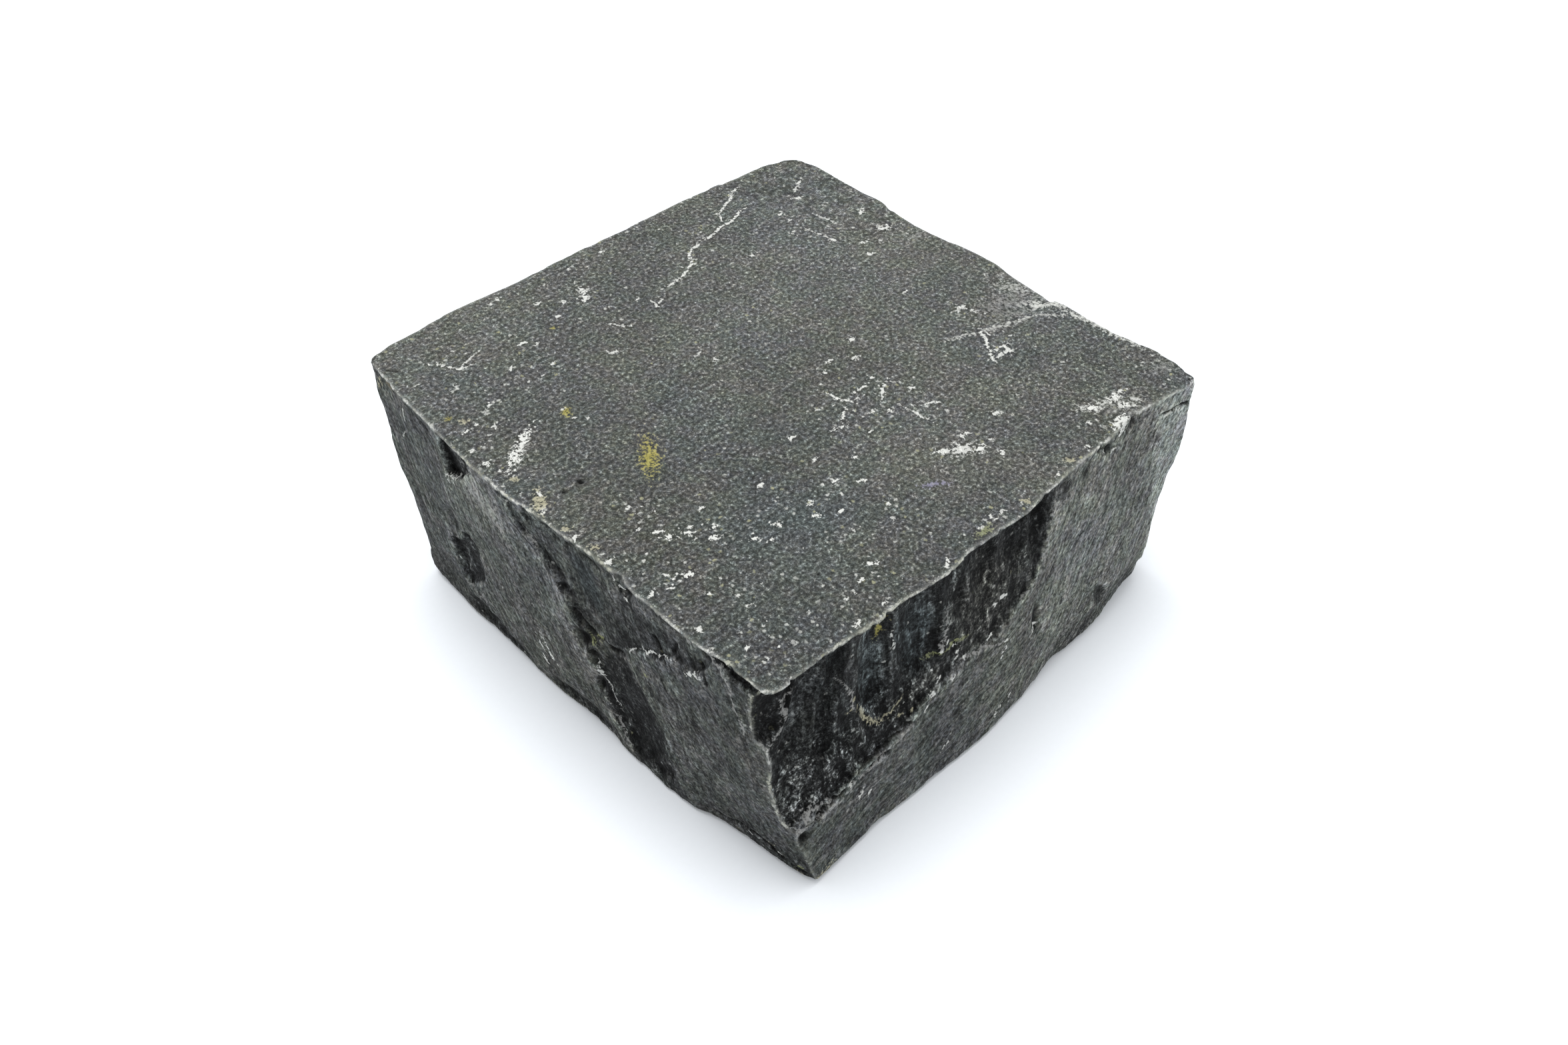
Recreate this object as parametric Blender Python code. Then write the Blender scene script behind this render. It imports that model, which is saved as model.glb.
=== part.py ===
"""Bluestone cobble: one split paving stone, modelled at real size.

The stone is a squat block with a flat, honed top, four hand-split sides and a
split underside with a flat spot in its middle, on which it rests.

Every side is a function that gives how far out the face lies at a place on it.
A side starts from three plan curves, at the top, at half height and at the
foot, and the flakes that came off it are cut into that. Neighbouring faces are
carried on until they meet, so the arrises fall where the faces cross.

Lengths below are in millimetres. Places on the stone are measured from the
point under the middle of the top face, at the height of the floor, with +X to
the back right, +Y to the back left and +Z up. The finished part has its origin
under the middle of its overall box.
"""

import math

import bmesh
import bpy
import numpy as np
from mathutils import Vector

# ---------------------------------------------------------------- dimensions
MM = 0.001
HEIGHT = 50.0  # honed top above the floor
MID = 25.0  # level of the middle plan curves
BOX_MIDDLE = (1.0, -1.9)  # middle of the overall box, from the top's middle

CELLS_X, CELLS_Y, CELLS_Z = 26, 25, 13  # facets along each edge of the block
ARRIS_RADIUS = 0.7  # how blunt the arrises are
CORNER_RADIUS = 1.8  # how blunt the three knocked corners are

# Plan curves of the four sides: (place along the side, how far out) where the
# side meets the top, at half height, and at the foot.
WEST_TOP = [(-54, 51.8), (-44, 51.9), (-37, 52.4), (-30, 52.6), (-24, 52.4), (-18, 51.9), (-12, 52.0), (-6, 52.4), (1, 52.8), (9, 53.3), (18, 53.0), (25, 52.4), (31, 51.8), (38, 51.3), (50, 50.4)]
WEST_MID = [(-54, 48.5), (-51, 48.9), (-46, 49.8), (-40, 50.4), (-30, 51.2), (-17, 51.3), (5, 51.3), (13, 51.2), (29, 50.2), (41, 49.5), (50, 49.3)]
WEST_FOOT = [(-54, 42.7), (-51, 43.9), (-46, 44.9), (-40, 45.8), (-30, 48.0), (-17, 48.7), (-9, 48.5), (5, 48.3), (29, 47.7), (41, 47.3), (50, 47.1)]

SOUTH_TOP = [(-54, 48.6), (-49, 49.7), (-42, 49.6), (-36, 50.0), (-29, 50.5), (-18, 51.1), (-10, 50.7), (3, 51.2), (11, 50.4), (19, 49.8), (28, 49.4), (33, 48.9), (42, 49.5), (50, 50.8), (56, 51.0)]
SOUTH_MID = [(-54, 51.0), (-46, 51.4), (-30, 52.0), (-10, 52.4), (0, 52.6), (10, 52.3), (20, 51.9), (30, 51.4), (40, 51.2), (50, 51.0), (56, 50.9)]
SOUTH_FOOT = [(-54, 53.4), (-40, 54.2), (-20, 53.9), (-10, 54.3), (0, 54.6), (10, 54.0), (20, 53.8), (30, 53.4), (36, 53.1), (44, 51.8), (50, 50.1), (56, 48.4)]

EAST_TOP = [(-52, 52.9), (-45, 52.9), (-34, 51.7), (-23, 51.7), (-16, 51.9), (-9, 52.7), (-3, 52.9), (3, 52.5), (9, 51.6), (16, 51.3), (24, 52.1), (38, 52.8), (50, 53.4)]
EAST_MID = [(-52, 53.6), (-40, 53.9), (-25, 53.6), (0, 54.2), (12, 53.4), (25, 53.6), (38, 54.2), (50, 54.0)]
EAST_FOOT = [(-52, 55.2), (-40, 55.5), (-25, 55.3), (0, 55.6), (12, 55.2), (25, 55.0), (38, 55.4), (50, 54.8)]

NORTH_TOP = [(-52, 49.4), (-40, 49.8), (-25, 50.2), (0, 50.8), (15, 50.2), (30, 49.8), (45, 49.3), (56, 48.9)]
NORTH_MID = [(-52, 47.0), (-40, 47.6), (-25, 48.3), (0, 48.9), (15, 48.4), (30, 47.9), (45, 47.4), (56, 46.8)]
NORTH_FOOT = [(-52, 43.6), (-40, 44.4), (-25, 45.2), (0, 46.2), (15, 45.4), (30, 45.0), (45, 44.2), (56, 43.8)]

# Corners knocked off flat: outward direction, and how far out the flat lies.
CORNER_FLATS = [
    ((-0.74, 0.67, -0.124), 63.1),
    ((0.80, -0.60, 0.036), 73.4),
    ((0.66, 0.75, -0.022), 69.3),
]
FULLER = 0.12  # the sides stand this much proud of their plan curves

# Foot of the big scoop on the south side: (x, height).
SCOOP_FOOT = [(-57, 13.5), (-49, 14.2), (-42, 15.2), (-36, 16.8), (-30, 18.8), (-21, 20.3), (-11, 24.8), (-4, 27.6), (2, 31.0), (6, 36.0), (10, 41.5), (13, 48.0)]
# How deep it is, from the front corner to where it runs out: (x, depth).
SCOOP_DEPTH = [(-57, 2.0), (-48, 2.0), (-36, 2.2), (-22, 2.1), (-8, 1.6), (4, 1.1), (10, 0.7), (15, 0.0)]
# Its depth on the way down, from the arris (0) to its foot (1): at the front
# corner, and along the rest of the side.
SCOOP_FALL_FRONT = [(0.0, 0.0), (0.05, 0.45), (0.14, 0.90), (0.35, 1.0), (0.50, 0.88), (0.66, 1.2), (0.83, 1.27), (0.93, 0.9), (1.0, 0.1), (1.03, 0.0)]
SCOOP_FALL = [(0.0, 0.0), (0.05, 0.34), (0.12, 0.50), (0.35, 0.66), (0.60, 0.70), (0.80, 0.54), (0.93, 0.36), (1.0, 0.05), (1.03, 0.0)]
# The dark pocket under the front corner of the top: its edge, as (x, height).
POCKET = [(-50.4, 34.8), (-46.9, 39.2), (-44.0, 45.7), (-43.0, 51.5)]
# Flutes in the scoop: (x at the arris, lean, half width, depth, lowest height).
FLUTES = [(-41.0, 0.04, 5.6, 1.0, 26), (-32.5, 0.27, 5.4, 1.0, 25), (-21.8, 0.10, 6.6, 1.0, 27), (-3.0, 0.05, 12.5, 0.8, 27)]

# Right edge of the raised slab on the west side: (height, y).
SLAB_EDGE = [(-2, -17.0), (1, -16.0), (6, -13.2), (10, -11.7), (14, -10.2), (17, -9.9), (22, -8.0), (28, -6.5), (32, -5.0), (36, -2.0), (41, 0.0), (45, 3.9), (52, 6.5)]

FLAT_SPOT = [(-33, -32), (-12, -36), (14, -35), (33, -27), (37, -8), (35, 17), (26, 30), (2, 34), (-20, 31), (-33, 22), (-37, -4)]


# ------------------------------------------------------------------- helpers
def along(points, t):
    """A smooth curve through (t, value) points, held level past its ends."""
    xs = np.array([p[0] for p in points], float)
    ys = np.array([p[1] for p in points], float)
    slope = np.gradient(ys, xs)
    t = np.clip(t, xs[0], xs[-1])
    i = np.clip(np.searchsorted(xs, t) - 1, 0, len(xs) - 2)
    w = xs[i + 1] - xs[i]
    s = (t - xs[i]) / w
    return (
        ys[i] * (1 + 2 * s) * (1 - s) ** 2
        + slope[i] * w * s * (1 - s) ** 2
        + ys[i + 1] * s * s * (3 - 2 * s)
        + slope[i + 1] * w * s * s * (s - 1)
    )


def ease(low, high, t):
    s = np.clip((t - low) / (high - low), 0.0, 1.0)
    return s * s * (3 - 2 * s)


def chance(ix, iy, iz, seed):
    """A fixed number from 0 to 1 for each lattice point."""
    h = (ix * 374761393 + iy * 668265263 + iz * 1440662683 + seed * 362437) & 0xFFFFFFFF
    h = ((h ^ (h >> 13)) * 1274126177) & 0xFFFFFFFF
    h = ((h ^ (h >> 16)) * 668265263) & 0xFFFFFFFF
    return (h ^ (h >> 15)) / 4294967296.0


def roughness(p, size, seed):
    """Smooth unevenness from about -1 to 1, with bumps about `size` across."""
    q = np.asarray(p, float) / size + seed * 7.31
    cell = np.floor(q).astype(np.int64)
    f = q - cell
    g = f * f * f * (f * (f * 6 - 15) + 10)
    total = 0.0
    for dx in (0, 1):
        for dy in (0, 1):
            for dz in (0, 1):
                c = cell + (dx, dy, dz)
                turn = chance(c[..., 0], c[..., 1], c[..., 2], seed) * 2 * math.pi
                up = chance(c[..., 0], c[..., 1], c[..., 2], seed + 97) * 2 - 1
                flat = np.sqrt(1 - up * up)
                d = f - (dx, dy, dz)
                dot = d[..., 0] * np.cos(turn) * flat + d[..., 1] * np.sin(turn) * flat + d[..., 2] * up
                w = (g[..., 0] if dx else 1 - g[..., 0]) * (g[..., 1] if dy else 1 - g[..., 1]) * (g[..., 2] if dz else 1 - g[..., 2])
                total = total + w * dot
    return total * 1.7


def spot(u, v, cu, cv, ru, rv, turn=0.0):
    """Squared distance from the middle of an oval, 1 on its rim."""
    c, s = math.cos(math.radians(turn)), math.sin(math.radians(turn))
    a, b = u - cu, v - cv
    return ((a * c + b * s) / ru) ** 2 + ((b * c - a * s) / rv) ** 2


def bowl(u, v, cu, cv, ru, rv, depth, turn=0.0):
    """A shallow flake scar: `depth` in its middle, nothing on its rim and a
    negative number past it, so the deeper of two scars wins at each place."""
    return depth * (1 - spot(u, v, cu, cv, ru, rv, turn))


def ruled(top, mid, foot, t, z):
    """How far out a side lies before any flake comes off it."""
    s = np.clip(z / HEIGHT, -0.06, 1.06)
    a, b, c = along(foot, t), along(mid, t), along(top, t)
    return a * (1 - s) * (1 - 2 * s) + 4 * b * s * (1 - s) + c * s * (2 * s - 1) + FULLER


# --------------------------------------------------------------------- faces
def west(y, z):
    """The left split side: a raised slab, with a step down to its right."""
    p = np.stack([np.full_like(y, -50.0), y, z], -1)
    wy = y + 0.9 * roughness(p, 9.0, 3)
    wz = z + 0.9 * roughness(p, 9.0, 4)
    out = ruled(WEST_TOP, WEST_MID, WEST_FOOT, y, z)
    beyond = along(SLAB_EDGE, wz) - wy  # distance past the slab's edge
    step = 1.2 * ease(0.0, 1.3, beyond) * (1 - ease(6.0, 24.0, beyond)) * (0.35 + 0.65 * ease(50, 38, wz)) * (0.45 + 0.55 * ease(2, 12, wz))
    scar = np.maximum.reduce(
        [
            bowl(wy, wz, 34.5, 30.0, 8.5, 34.0, 0.7, -6),  # striated end
            bowl(wy, wz, 25.5, 18.0, 5.0, 9.5, 1.3, 16),  # dark hollow
            bowl(wy, wz, 22.5, 49.0, 4.6, 8.0, 1.8, 22),  # notch under the arris
            bowl(wy, wz, -19.0, 47.5, 7.0, 6.5, 1.2),
            bowl(wy, wz, -28.0, 46.0, 8.0, 8.5, 0.9),
            bowl(wy, wz, -18.8, 13.0, 8.6, 16.5, 1.3, -13),  # coarse patch
            bowl(wy, wz, 8.0, -3.0, 17.0, 7.0, 1.0),
            np.zeros_like(y),
        ]
    )
    out -= np.maximum(step, scar) * ease(50.6, 47.5, z)
    out -= 0.05 * np.clip(-wy - 41.5, 0, 9) * ease(24, 36, wz)  # sliver by the front arris
    return out + 0.30 * roughness(p, 11.0, 5) + 0.14 * roughness(p, 5.0, 6)


def south(x, z):
    """The right split side: a fluted scoop under the arris at its front."""
    p = np.stack([x, np.full_like(x, -50.0), z], -1)
    wx = x + 0.8 * roughness(p, 8.0, 13)
    wz = z + 0.8 * roughness(p, 8.0, 14)
    out = ruled(SOUTH_TOP, SOUTH_MID, SOUTH_FOOT, x, z)
    foot = along(SCOOP_FOOT, wx)
    t = (HEIGHT - wz) / (HEIGHT - foot + 0.01)
    front = 1 - ease(-47.5, -40.0, wx)
    fall = [np.interp(t, [k for k, _ in f], [d for _, d in f]) for f in (SCOOP_FALL_FRONT, SCOOP_FALL)]
    depth = along(SCOOP_DEPTH, wx) * (front * fall[0] + (1 - front) * fall[1])
    flute = np.zeros_like(x)
    for start, lean, half, deep, low in FLUTES:
        off = (wx - start - lean * (HEIGHT - wz)) / half
        flute = np.maximum(flute, deep * (1 - off * off) * ease(low - 3, low + 7, wz))
    depth += flute * ease(50.5, 46.0, wz) * ease(0.0, 0.6, along(SCOOP_DEPTH, wx))
    edge = np.interp(wz, [v for _, v in POCKET], [u for u, _ in POCKET])
    pocket = 1.6 * ease(0.0, 2.2, edge - wx) * ease(34.5, 37.0, wz)
    depth = np.where(pocket > 0, np.maximum(depth, 0.75 * depth + pocket), depth) * ease(50.5, 48.5, wz)
    # the foot's right half is bevelled, and the right end turns away
    bevel = 0.13 * np.clip(11.5 - wz, 0, 20) * ease(13, 24, wx) * (1 - ease(45, 52, wx))
    away = 0.10 * np.clip(wx - 41.0 + 0.25 * (wz - 36), 0, 14) * ease(5, 25, wz)
    notch = bowl(wx, wz, 33.5, 9.0, 3.2, 6.0, 0.9, 25)
    out -= np.maximum.reduce([depth, bevel, away, notch, np.zeros_like(x)])
    return out + 0.26 * roughness(p, 12.0, 15) + 0.12 * roughness(p, 5.0, 16)


def east(y, z):
    """The back right split side: two long flakes and a bellied foot."""
    p = np.stack([np.full_like(y, 50.0), y, z], -1)
    wy = y + 1.2 * roughness(p, 9.0, 23)
    wz = z + 1.2 * roughness(p, 9.0, 24)
    out = ruled(EAST_TOP, EAST_MID, EAST_FOOT, y, z)
    scar = np.maximum.reduce(
        [
            bowl(wy, wz, -26.0, 34.0, 15.0, 17.0, 1.9, 12),
            bowl(wy, wz, 13.0, 34.0, 13.0, 20.0, 1.7, -14),
            bowl(wy, wz, 34.0, 16.0, 15.0, 12.0, 1.4, 20),
            bowl(wy, wz, -8.0, 8.0, 18.0, 9.0, 1.5, -8),
            np.zeros_like(y),
        ]
    )
    out -= scar * ease(51.0, 43.0, z)
    return out + 0.30 * roughness(p, 11.0, 25) + 0.14 * roughness(p, 5.0, 26)


def north(x, z):
    """The back left split side: leans in, with a ledge across its middle."""
    p = np.stack([x, np.full_like(x, 50.0), z], -1)
    wx = x + 1.2 * roughness(p, 9.0, 33)
    wz = z + 1.2 * roughness(p, 9.0, 34)
    out = ruled(NORTH_TOP, NORTH_MID, NORTH_FOOT, x, z)
    ledge = 24.0 + 0.16 * wx  # height of the ledge
    above = wz - ledge
    shelf = 1.5 * ease(0.0, 1.6, above) * (1 - ease(5.0, 20.0, above)) * ease(-44, -30, wx) * (1 - ease(18, 36, wx))
    scar = np.maximum.reduce(
        [
            bowl(wx, wz, -30.0, 42.0, 14.0, 15.0, 1.6, -10),
            bowl(wx, wz, 4.0, 12.0, 19.0, 11.0, 1.6, 8),
            bowl(wx, wz, 34.0, 34.0, 13.0, 20.0, 1.8, 16),
            np.zeros_like(x),
        ]
    )
    out -= np.maximum(shelf, scar) * ease(51.0, 43.0, z)
    return out + 0.30 * roughness(p, 11.0, 35) + 0.14 * roughness(p, 5.0, 36)


def top(x, y):
    """The honed top, a little worn along its back edges."""
    p = np.stack([x, y, np.full_like(x, 50.0)], -1)
    worn = 0.8 * ease(42, 52, x) * ease(-22, -17, y) * (1 - ease(-11, -5, y))
    dip = 0.35 * np.clip(1 - spot(x, y, 45.0, 22.0, 9.0, 7.0), 0, 1)
    return HEIGHT - worn - dip + 0.10 * roughness(p, 24.0, 41)


def inside_flat(x, y):
    """Distance past the rim of the flat spot; negative inside it."""
    n = len(FLAT_SPOT)
    past = np.full_like(x, -1e9)
    for i in range(n):
        (ax, ay), (bx, by) = FLAT_SPOT[i], FLAT_SPOT[(i + 1) % n]
        length = math.hypot(bx - ax, by - ay)
        past = np.maximum(past, ((x - ax) * (by - ay) - (y - ay) * (bx - ax)) / length)
    return past


def bottom(x, y):
    """The underside: exactly flat in its middle, rising a little to its rim."""
    p = np.stack([x, y, np.zeros_like(x)], -1)
    past = inside_flat(x, y)
    hidden = ease(-30, 45, 0.5 * x + 0.5 * y)  # rises more on the back sides
    rise = (0.035 + 0.060 * hidden) * np.clip(past, 0, 30)
    uneven = 0.25 + 0.30 * roughness(p, 10.0, 51) + 0.14 * roughness(p, 5.0, 52)
    return np.where(past > 0, rise + np.clip(uneven, 0, None) * ease(0, 8, past), 0.0)


# ------------------------------------------------------- where the faces meet
def meet(low_x, low_y, low_z, x, y, z):
    """Moves points onto the faces that they are given for; None leaves free."""
    for _ in range(40):
        nx = x if low_x is None else (-west(y, z) if low_x else east(y, z))
        ny = y if low_y is None else (-south(x, z) if low_y else north(x, z))
        nz = z if low_z is None else (bottom(x, y) if low_z else top(x, y))
        x, y, z = 0.5 * (x + nx), 0.5 * (y + ny), 0.5 * (z + nz)
    return x, y, z


def spacing(cells, first):
    """Places from 0 to 1 along an edge, closer together near its two ends."""
    t = np.linspace(0, 1, cells + 1)
    even = np.interp(t, [0, 1 / cells, 1 - 1 / cells, 1], [0, first, 1 - first, 1])
    return even


def patch(u_low, u_high, v_low, v_high, s, t):
    """Fills a face from its four edges. The u edges run with the first index,
    at places s along it, and the v edges with the second, at places t."""
    s, t = s[:, None, None], t[None, :, None]
    return (
        (1 - t) * u_low[:, None] + t * u_high[:, None]
        + (1 - s) * v_low[None] + s * v_high[None]
        - (1 - s) * (1 - t) * u_low[0] - s * (1 - t) * u_low[-1]
        - (1 - s) * t * u_high[0] - s * t * u_high[-1]
    )


def depths(p):
    """How far each point lies outside each face and each knocked corner."""
    x, y, z = p[..., 0], p[..., 1], p[..., 2]
    rows = [
        -west(y, z) - x,
        x - east(y, z),
        -south(x, z) - y,
        y - north(x, z),
        z - top(x, y),
        bottom(x, y) - z,
    ]
    for n, far in CORNER_FLATS:
        length = math.sqrt(sum(k * k for k in n))
        # the right corner stands farther out in its upper half
        step = 1.3 * ease(26.5, 31.0, z) if n[0] > 0 > n[1] else 0.0
        rows.append((x * n[0] + y * n[1] + z * n[2] - far - step) / length)
    return np.stack(rows, -1)


def outside(p, radius):
    """Distance outside the stone, with its arrises rounded to `radius`."""
    d = depths(p)
    over = np.maximum(d + radius[..., None], 0)
    return np.minimum(d.max(-1), -radius) + np.sqrt((over * over).sum(-1))


def settle(p, radius):
    """Moves points onto the rounded stone, along its slope."""
    for _ in range(6):
        f = outside(p, radius)
        slope = np.stack([(outside(p + e, radius) - outside(p - e, radius)) / 0.1 for e in 0.05 * np.eye(3)], -1)
        steep = np.maximum((slope * slope).sum(-1), 0.25)
        p = p - (f / steep)[..., None] * slope
    return p


def stone_mesh(name):
    nx, ny, nz = CELLS_X, CELLS_Y, CELLS_Z
    sx, sy, sz = spacing(nx, 0.011), spacing(ny, 0.011), spacing(nz, 0.02)
    ends = {0: (-53.0, 55.0), 1: (-54.0, 50.0), 2: (0.0, 50.0)}
    # the eight corners, then the twelve edges between them
    corner = {}
    for i in (0, 1):
        for j in (0, 1):
            for k in (0, 1):
                p = meet(not i, not j, not k, *(np.array([ends[a][b]]) for a, b in ((0, i), (1, j), (2, k))))
                corner[i, j, k] = np.array([p[0][0], p[1][0], p[2][0]])
    edge = {}
    for axis, s in ((0, sx), (1, sy), (2, sz)):
        for a in (0, 1):
            for b in (0, 1):
                at = [a, b]
                at.insert(axis, 0)
                lo = corner[tuple(at)]
                at[axis] = 1
                hi = corner[tuple(at)]
                line = lo[None] * (1 - s[:, None]) + hi[None] * s[:, None]
                fixed = [None if k == axis else not at[k] for k in range(3)]
                moved = np.stack(meet(*fixed, line[:, 0], line[:, 1], line[:, 2]), -1)
                moved[0], moved[-1] = lo, hi
                edge[axis, a, b] = moved
    at = {}

    def side_edge(run, **places):
        """The edge that runs along one axis, at the given end of the others."""
        return edge[(run, *[places["xyz"[k]] for k in range(3) if k != run])]

    def fill(axis, side, s, t, face):
        """One face: its two free axes u and v, filled from its four edges."""
        u, v = [k for k in range(3) if k != axis]
        a, un, vn = "xyz"[axis], "xyz"[u], "xyz"[v]
        grid = patch(
            side_edge(u, **{a: side, vn: 0}), side_edge(u, **{a: side, vn: 1}),
            side_edge(v, **{a: side, un: 0}), side_edge(v, **{a: side, un: 1}),
            s, t,
        )
        grid[1:-1, 1:-1, axis] = face(grid[1:-1, 1:-1, u], grid[1:-1, 1:-1, v])
        for i in range(len(s)):
            for j in range(len(t)):
                key = [i, j]
                key.insert(axis, side * (nx, ny, nz)[axis])
                at[tuple(key)] = grid[i, j]

    fill(0, 0, sy, sz, lambda y, z: -west(y, z))
    fill(0, 1, sy, sz, lambda y, z: east(y, z))
    fill(1, 0, sx, sz, lambda x, z: -south(x, z))
    fill(1, 1, sx, sz, lambda x, z: north(x, z))
    fill(2, 0, sx, sy, bottom)
    fill(2, 1, sx, sy, top)

    keys = list(at)
    p = np.array([at[k] for k in keys])
    d = depths(p)
    radius = ARRIS_RADIUS + (CORNER_RADIUS - ARRIS_RADIUS) * ease(-4.0, -0.5, d[:, 6:].max(-1))
    p = settle(p, radius)
    p[np.abs(p[:, 2]) < 1e-4, 2] = 0.0

    bm = bmesh.new()
    made = {}
    for key, q in zip(keys, p):
        made[key] = bm.verts.new(((q[0] - BOX_MIDDLE[0]) * MM, (q[1] - BOX_MIDDLE[1]) * MM, q[2] * MM))
    for axis in range(3):
        u, v = [k for k in range(3) if k != axis]
        size = (nx, ny, nz)
        for side in (0, 1):
            for i in range(size[u]):
                for j in range(size[v]):
                    ring = []
                    for a, b in ((0, 0), (1, 0), (1, 1), (0, 1)):
                        key = [0, 0, 0]
                        key[axis], key[u], key[v] = side * size[axis], i + a, j + b
                        ring.append(made[tuple(key)])
                    bm.faces.new(ring)
    bmesh.ops.recalc_face_normals(bm, faces=bm.faces)
    # the flat spot is one plane, so it becomes a few large faces
    flat = [f for f in bm.faces if all(w.co.z == 0.0 for w in f.verts)]
    bmesh.ops.dissolve_faces(bm, faces=flat)
    bmesh.ops.triangulate(bm, faces=bm.faces, quad_method="BEAUTY", ngon_method="BEAUTY")
    mesh = bpy.data.meshes.new(name)
    bm.to_mesh(mesh)
    bm.free()
    mesh.shade_smooth()
    mesh.set_sharp_from_angle(angle=math.radians(32))
    return mesh


def stone_material():
    material = bpy.data.materials.new("bluestone")
    material.use_nodes = True
    shader = material.node_tree.nodes["Principled BSDF"]
    shader.inputs["Base Color"].default_value = (0.082, 0.084, 0.080, 1.0)
    shader.inputs["Roughness"].default_value = 0.72
    shader.inputs["Metallic"].default_value = 0.0
    material.diffuse_color = (0.082, 0.084, 0.080, 1.0)
    return material


def main():
    for ob in list(bpy.data.objects):
        bpy.data.objects.remove(ob, do_unlink=True)
    mesh = stone_mesh("cobble")
    mesh.materials.append(stone_material())
    cobble = bpy.data.objects.new("cobble", mesh)
    cobble.location = Vector((0.0, 0.0, 0.0))
    bpy.context.scene.collection.objects.link(cobble)


main()
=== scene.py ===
import math

import bpy
import numpy as np
from mathutils import Matrix, Vector


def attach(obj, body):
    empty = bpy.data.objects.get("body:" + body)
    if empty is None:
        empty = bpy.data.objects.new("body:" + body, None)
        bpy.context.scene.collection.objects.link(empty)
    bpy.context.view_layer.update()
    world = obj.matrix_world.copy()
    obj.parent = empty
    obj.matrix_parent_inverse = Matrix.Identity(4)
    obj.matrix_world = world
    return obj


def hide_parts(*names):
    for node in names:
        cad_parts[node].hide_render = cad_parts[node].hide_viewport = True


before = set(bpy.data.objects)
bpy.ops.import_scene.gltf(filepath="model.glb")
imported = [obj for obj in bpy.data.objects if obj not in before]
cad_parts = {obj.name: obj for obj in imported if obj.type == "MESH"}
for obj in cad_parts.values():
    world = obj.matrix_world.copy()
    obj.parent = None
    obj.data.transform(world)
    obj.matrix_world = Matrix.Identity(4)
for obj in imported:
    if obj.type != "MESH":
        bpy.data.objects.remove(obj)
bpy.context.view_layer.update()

# The stone's fine surface is worked out in millimetres, from the point under
# the middle of its top face. BOX_MIDDLE is where the frame's origin lies there.
MM = 0.001
HEIGHT = 50.0
BOX_MIDDLE = (1.0, -1.9)

CELLS_X, CELLS_Y, CELLS_Z = ((300, 292, 172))
MOST_TRIANGLES = 196_000
GROW = 0.30

# ------------------------------------------------------------------ plan curves
# Each: (place along the side, how far out), at the top, half height and foot.
WEST_TOP = [(-54, 51.8), (-48.4, 51.8), (-44, 51.9), (-40.3, 52.1), (-36.7, 52.4), (-31.3, 52.6), (-27.5, 52.4), (-24, 52.4), (-18.4, 51.9), (-12.1, 52.0), (-6.6, 52.4), (0.2, 52.7), (4.5, 53.2), (8.7, 53.3), (14.5, 53.2), (18.4, 53.0), (24.7, 52.4), (30.2, 51.8), (37.4, 51.3), (42.7, 50.5), (52, 50.0)]
WEST_MID = [(-54, 48.5), (-51, 48.9), (-46, 49.8), (-40, 50.4), (-30, 51.2), (-17, 51.3), (5, 51.3), (13, 51.2), (29, 50.2), (41, 49.5), (52, 49.2)]
WEST_FOOT = [(-54, 43.7), (-51, 44.6), (-46, 45.3), (-40.6, 45.8), (-35, 46.8), (-30, 48.1), (-24, 48.8), (-17, 48.5), (-9, 47.9), (5, 48.3), (13, 48.2), (29, 48.0), (41, 47.7), (52, 47.6)]

SOUTH_TOP = [(-54, 48.6), (-49.5, 49.8), (-45.7, 49.6), (-41.8, 49.6), (-35.9, 50.0), (-29.5, 50.6), (-25.7, 50.2), (-21.8, 50.8), (-18.3, 51.1), (-14.6, 51.1), (-10.2, 50.6), (-6.3, 50.7), (-1.5, 51.0), (2.9, 51.2), (6.7, 50.8), (11.6, 50.3), (18.8, 49.8), (28.4, 49.4), (32.9, 48.8), (42.1, 49.5), (50, 50.9), (57, 51.2)]
SOUTH_MID = [(-54, 51.0), (-46, 51.4), (-30, 52.0), (-10, 52.4), (0, 52.6), (10, 52.3), (20, 51.9), (30, 51.4), (40, 51.2), (50, 51.0), (57, 50.9)]
SOUTH_FOOT = [(-54, 54.1), (-41, 54.5), (-34, 54.0), (-24, 53.8), (-14, 54.2), (0, 54.5), (9, 53.7), (18, 53.1), (27, 53.6), (36, 53.3), (44, 51.8), (50, 50.1), (57, 48.4)]

EAST_TOP = [(-54, 53.3), (-48.5, 53.2), (-45, 53.1), (-40, 52.6), (-34, 51.7), (-29, 51.5), (-23, 51.7), (-16, 51.9), (-9, 52.7), (-3, 52.9), (3, 52.5), (9, 51.6), (16, 51.5), (24, 52.9), (31, 53.1), (39, 53.3), (44.7, 53.5), (52, 53.7)]
EAST_MID = [(-54, 54.3), (-40, 54.2), (-25, 53.6), (0, 54.2), (12, 53.4), (25, 53.6), (38, 54.2), (52, 54.0)]
EAST_FOOT = [(-54, 55.2), (-40, 55.5), (-25, 55.3), (0, 55.6), (12, 55.2), (25, 55.0), (38, 55.4), (52, 54.8)]

NORTH_TOP = [(-54, 49.4), (-45.3, 49.6), (-40, 49.8), (-33, 50.6), (-25, 50.4), (-18, 50.1), (-10, 50.4), (0, 50.6), (8, 50.4), (15, 50.6), (30, 50.5), (38, 50.3), (45, 50.0), (57, 49.6)]
NORTH_MID = [(-54, 47.0), (-40, 47.6), (-25, 48.3), (0, 48.9), (15, 48.4), (30, 47.9), (45, 47.4), (57, 46.8)]
NORTH_FOOT = [(-54, 44.4), (-40, 44.7), (-25, 45.2), (0, 46.2), (15, 45.4), (30, 45.0), (45, 44.2), (57, 43.8)]

CORNER_FLATS = [
    ((-0.74, 0.67, -0.124), 63.5),
    ((0.80, -0.60, 0.036), 73.4),
    ((0.66, 0.75, -0.022), 69.5),
]

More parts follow.
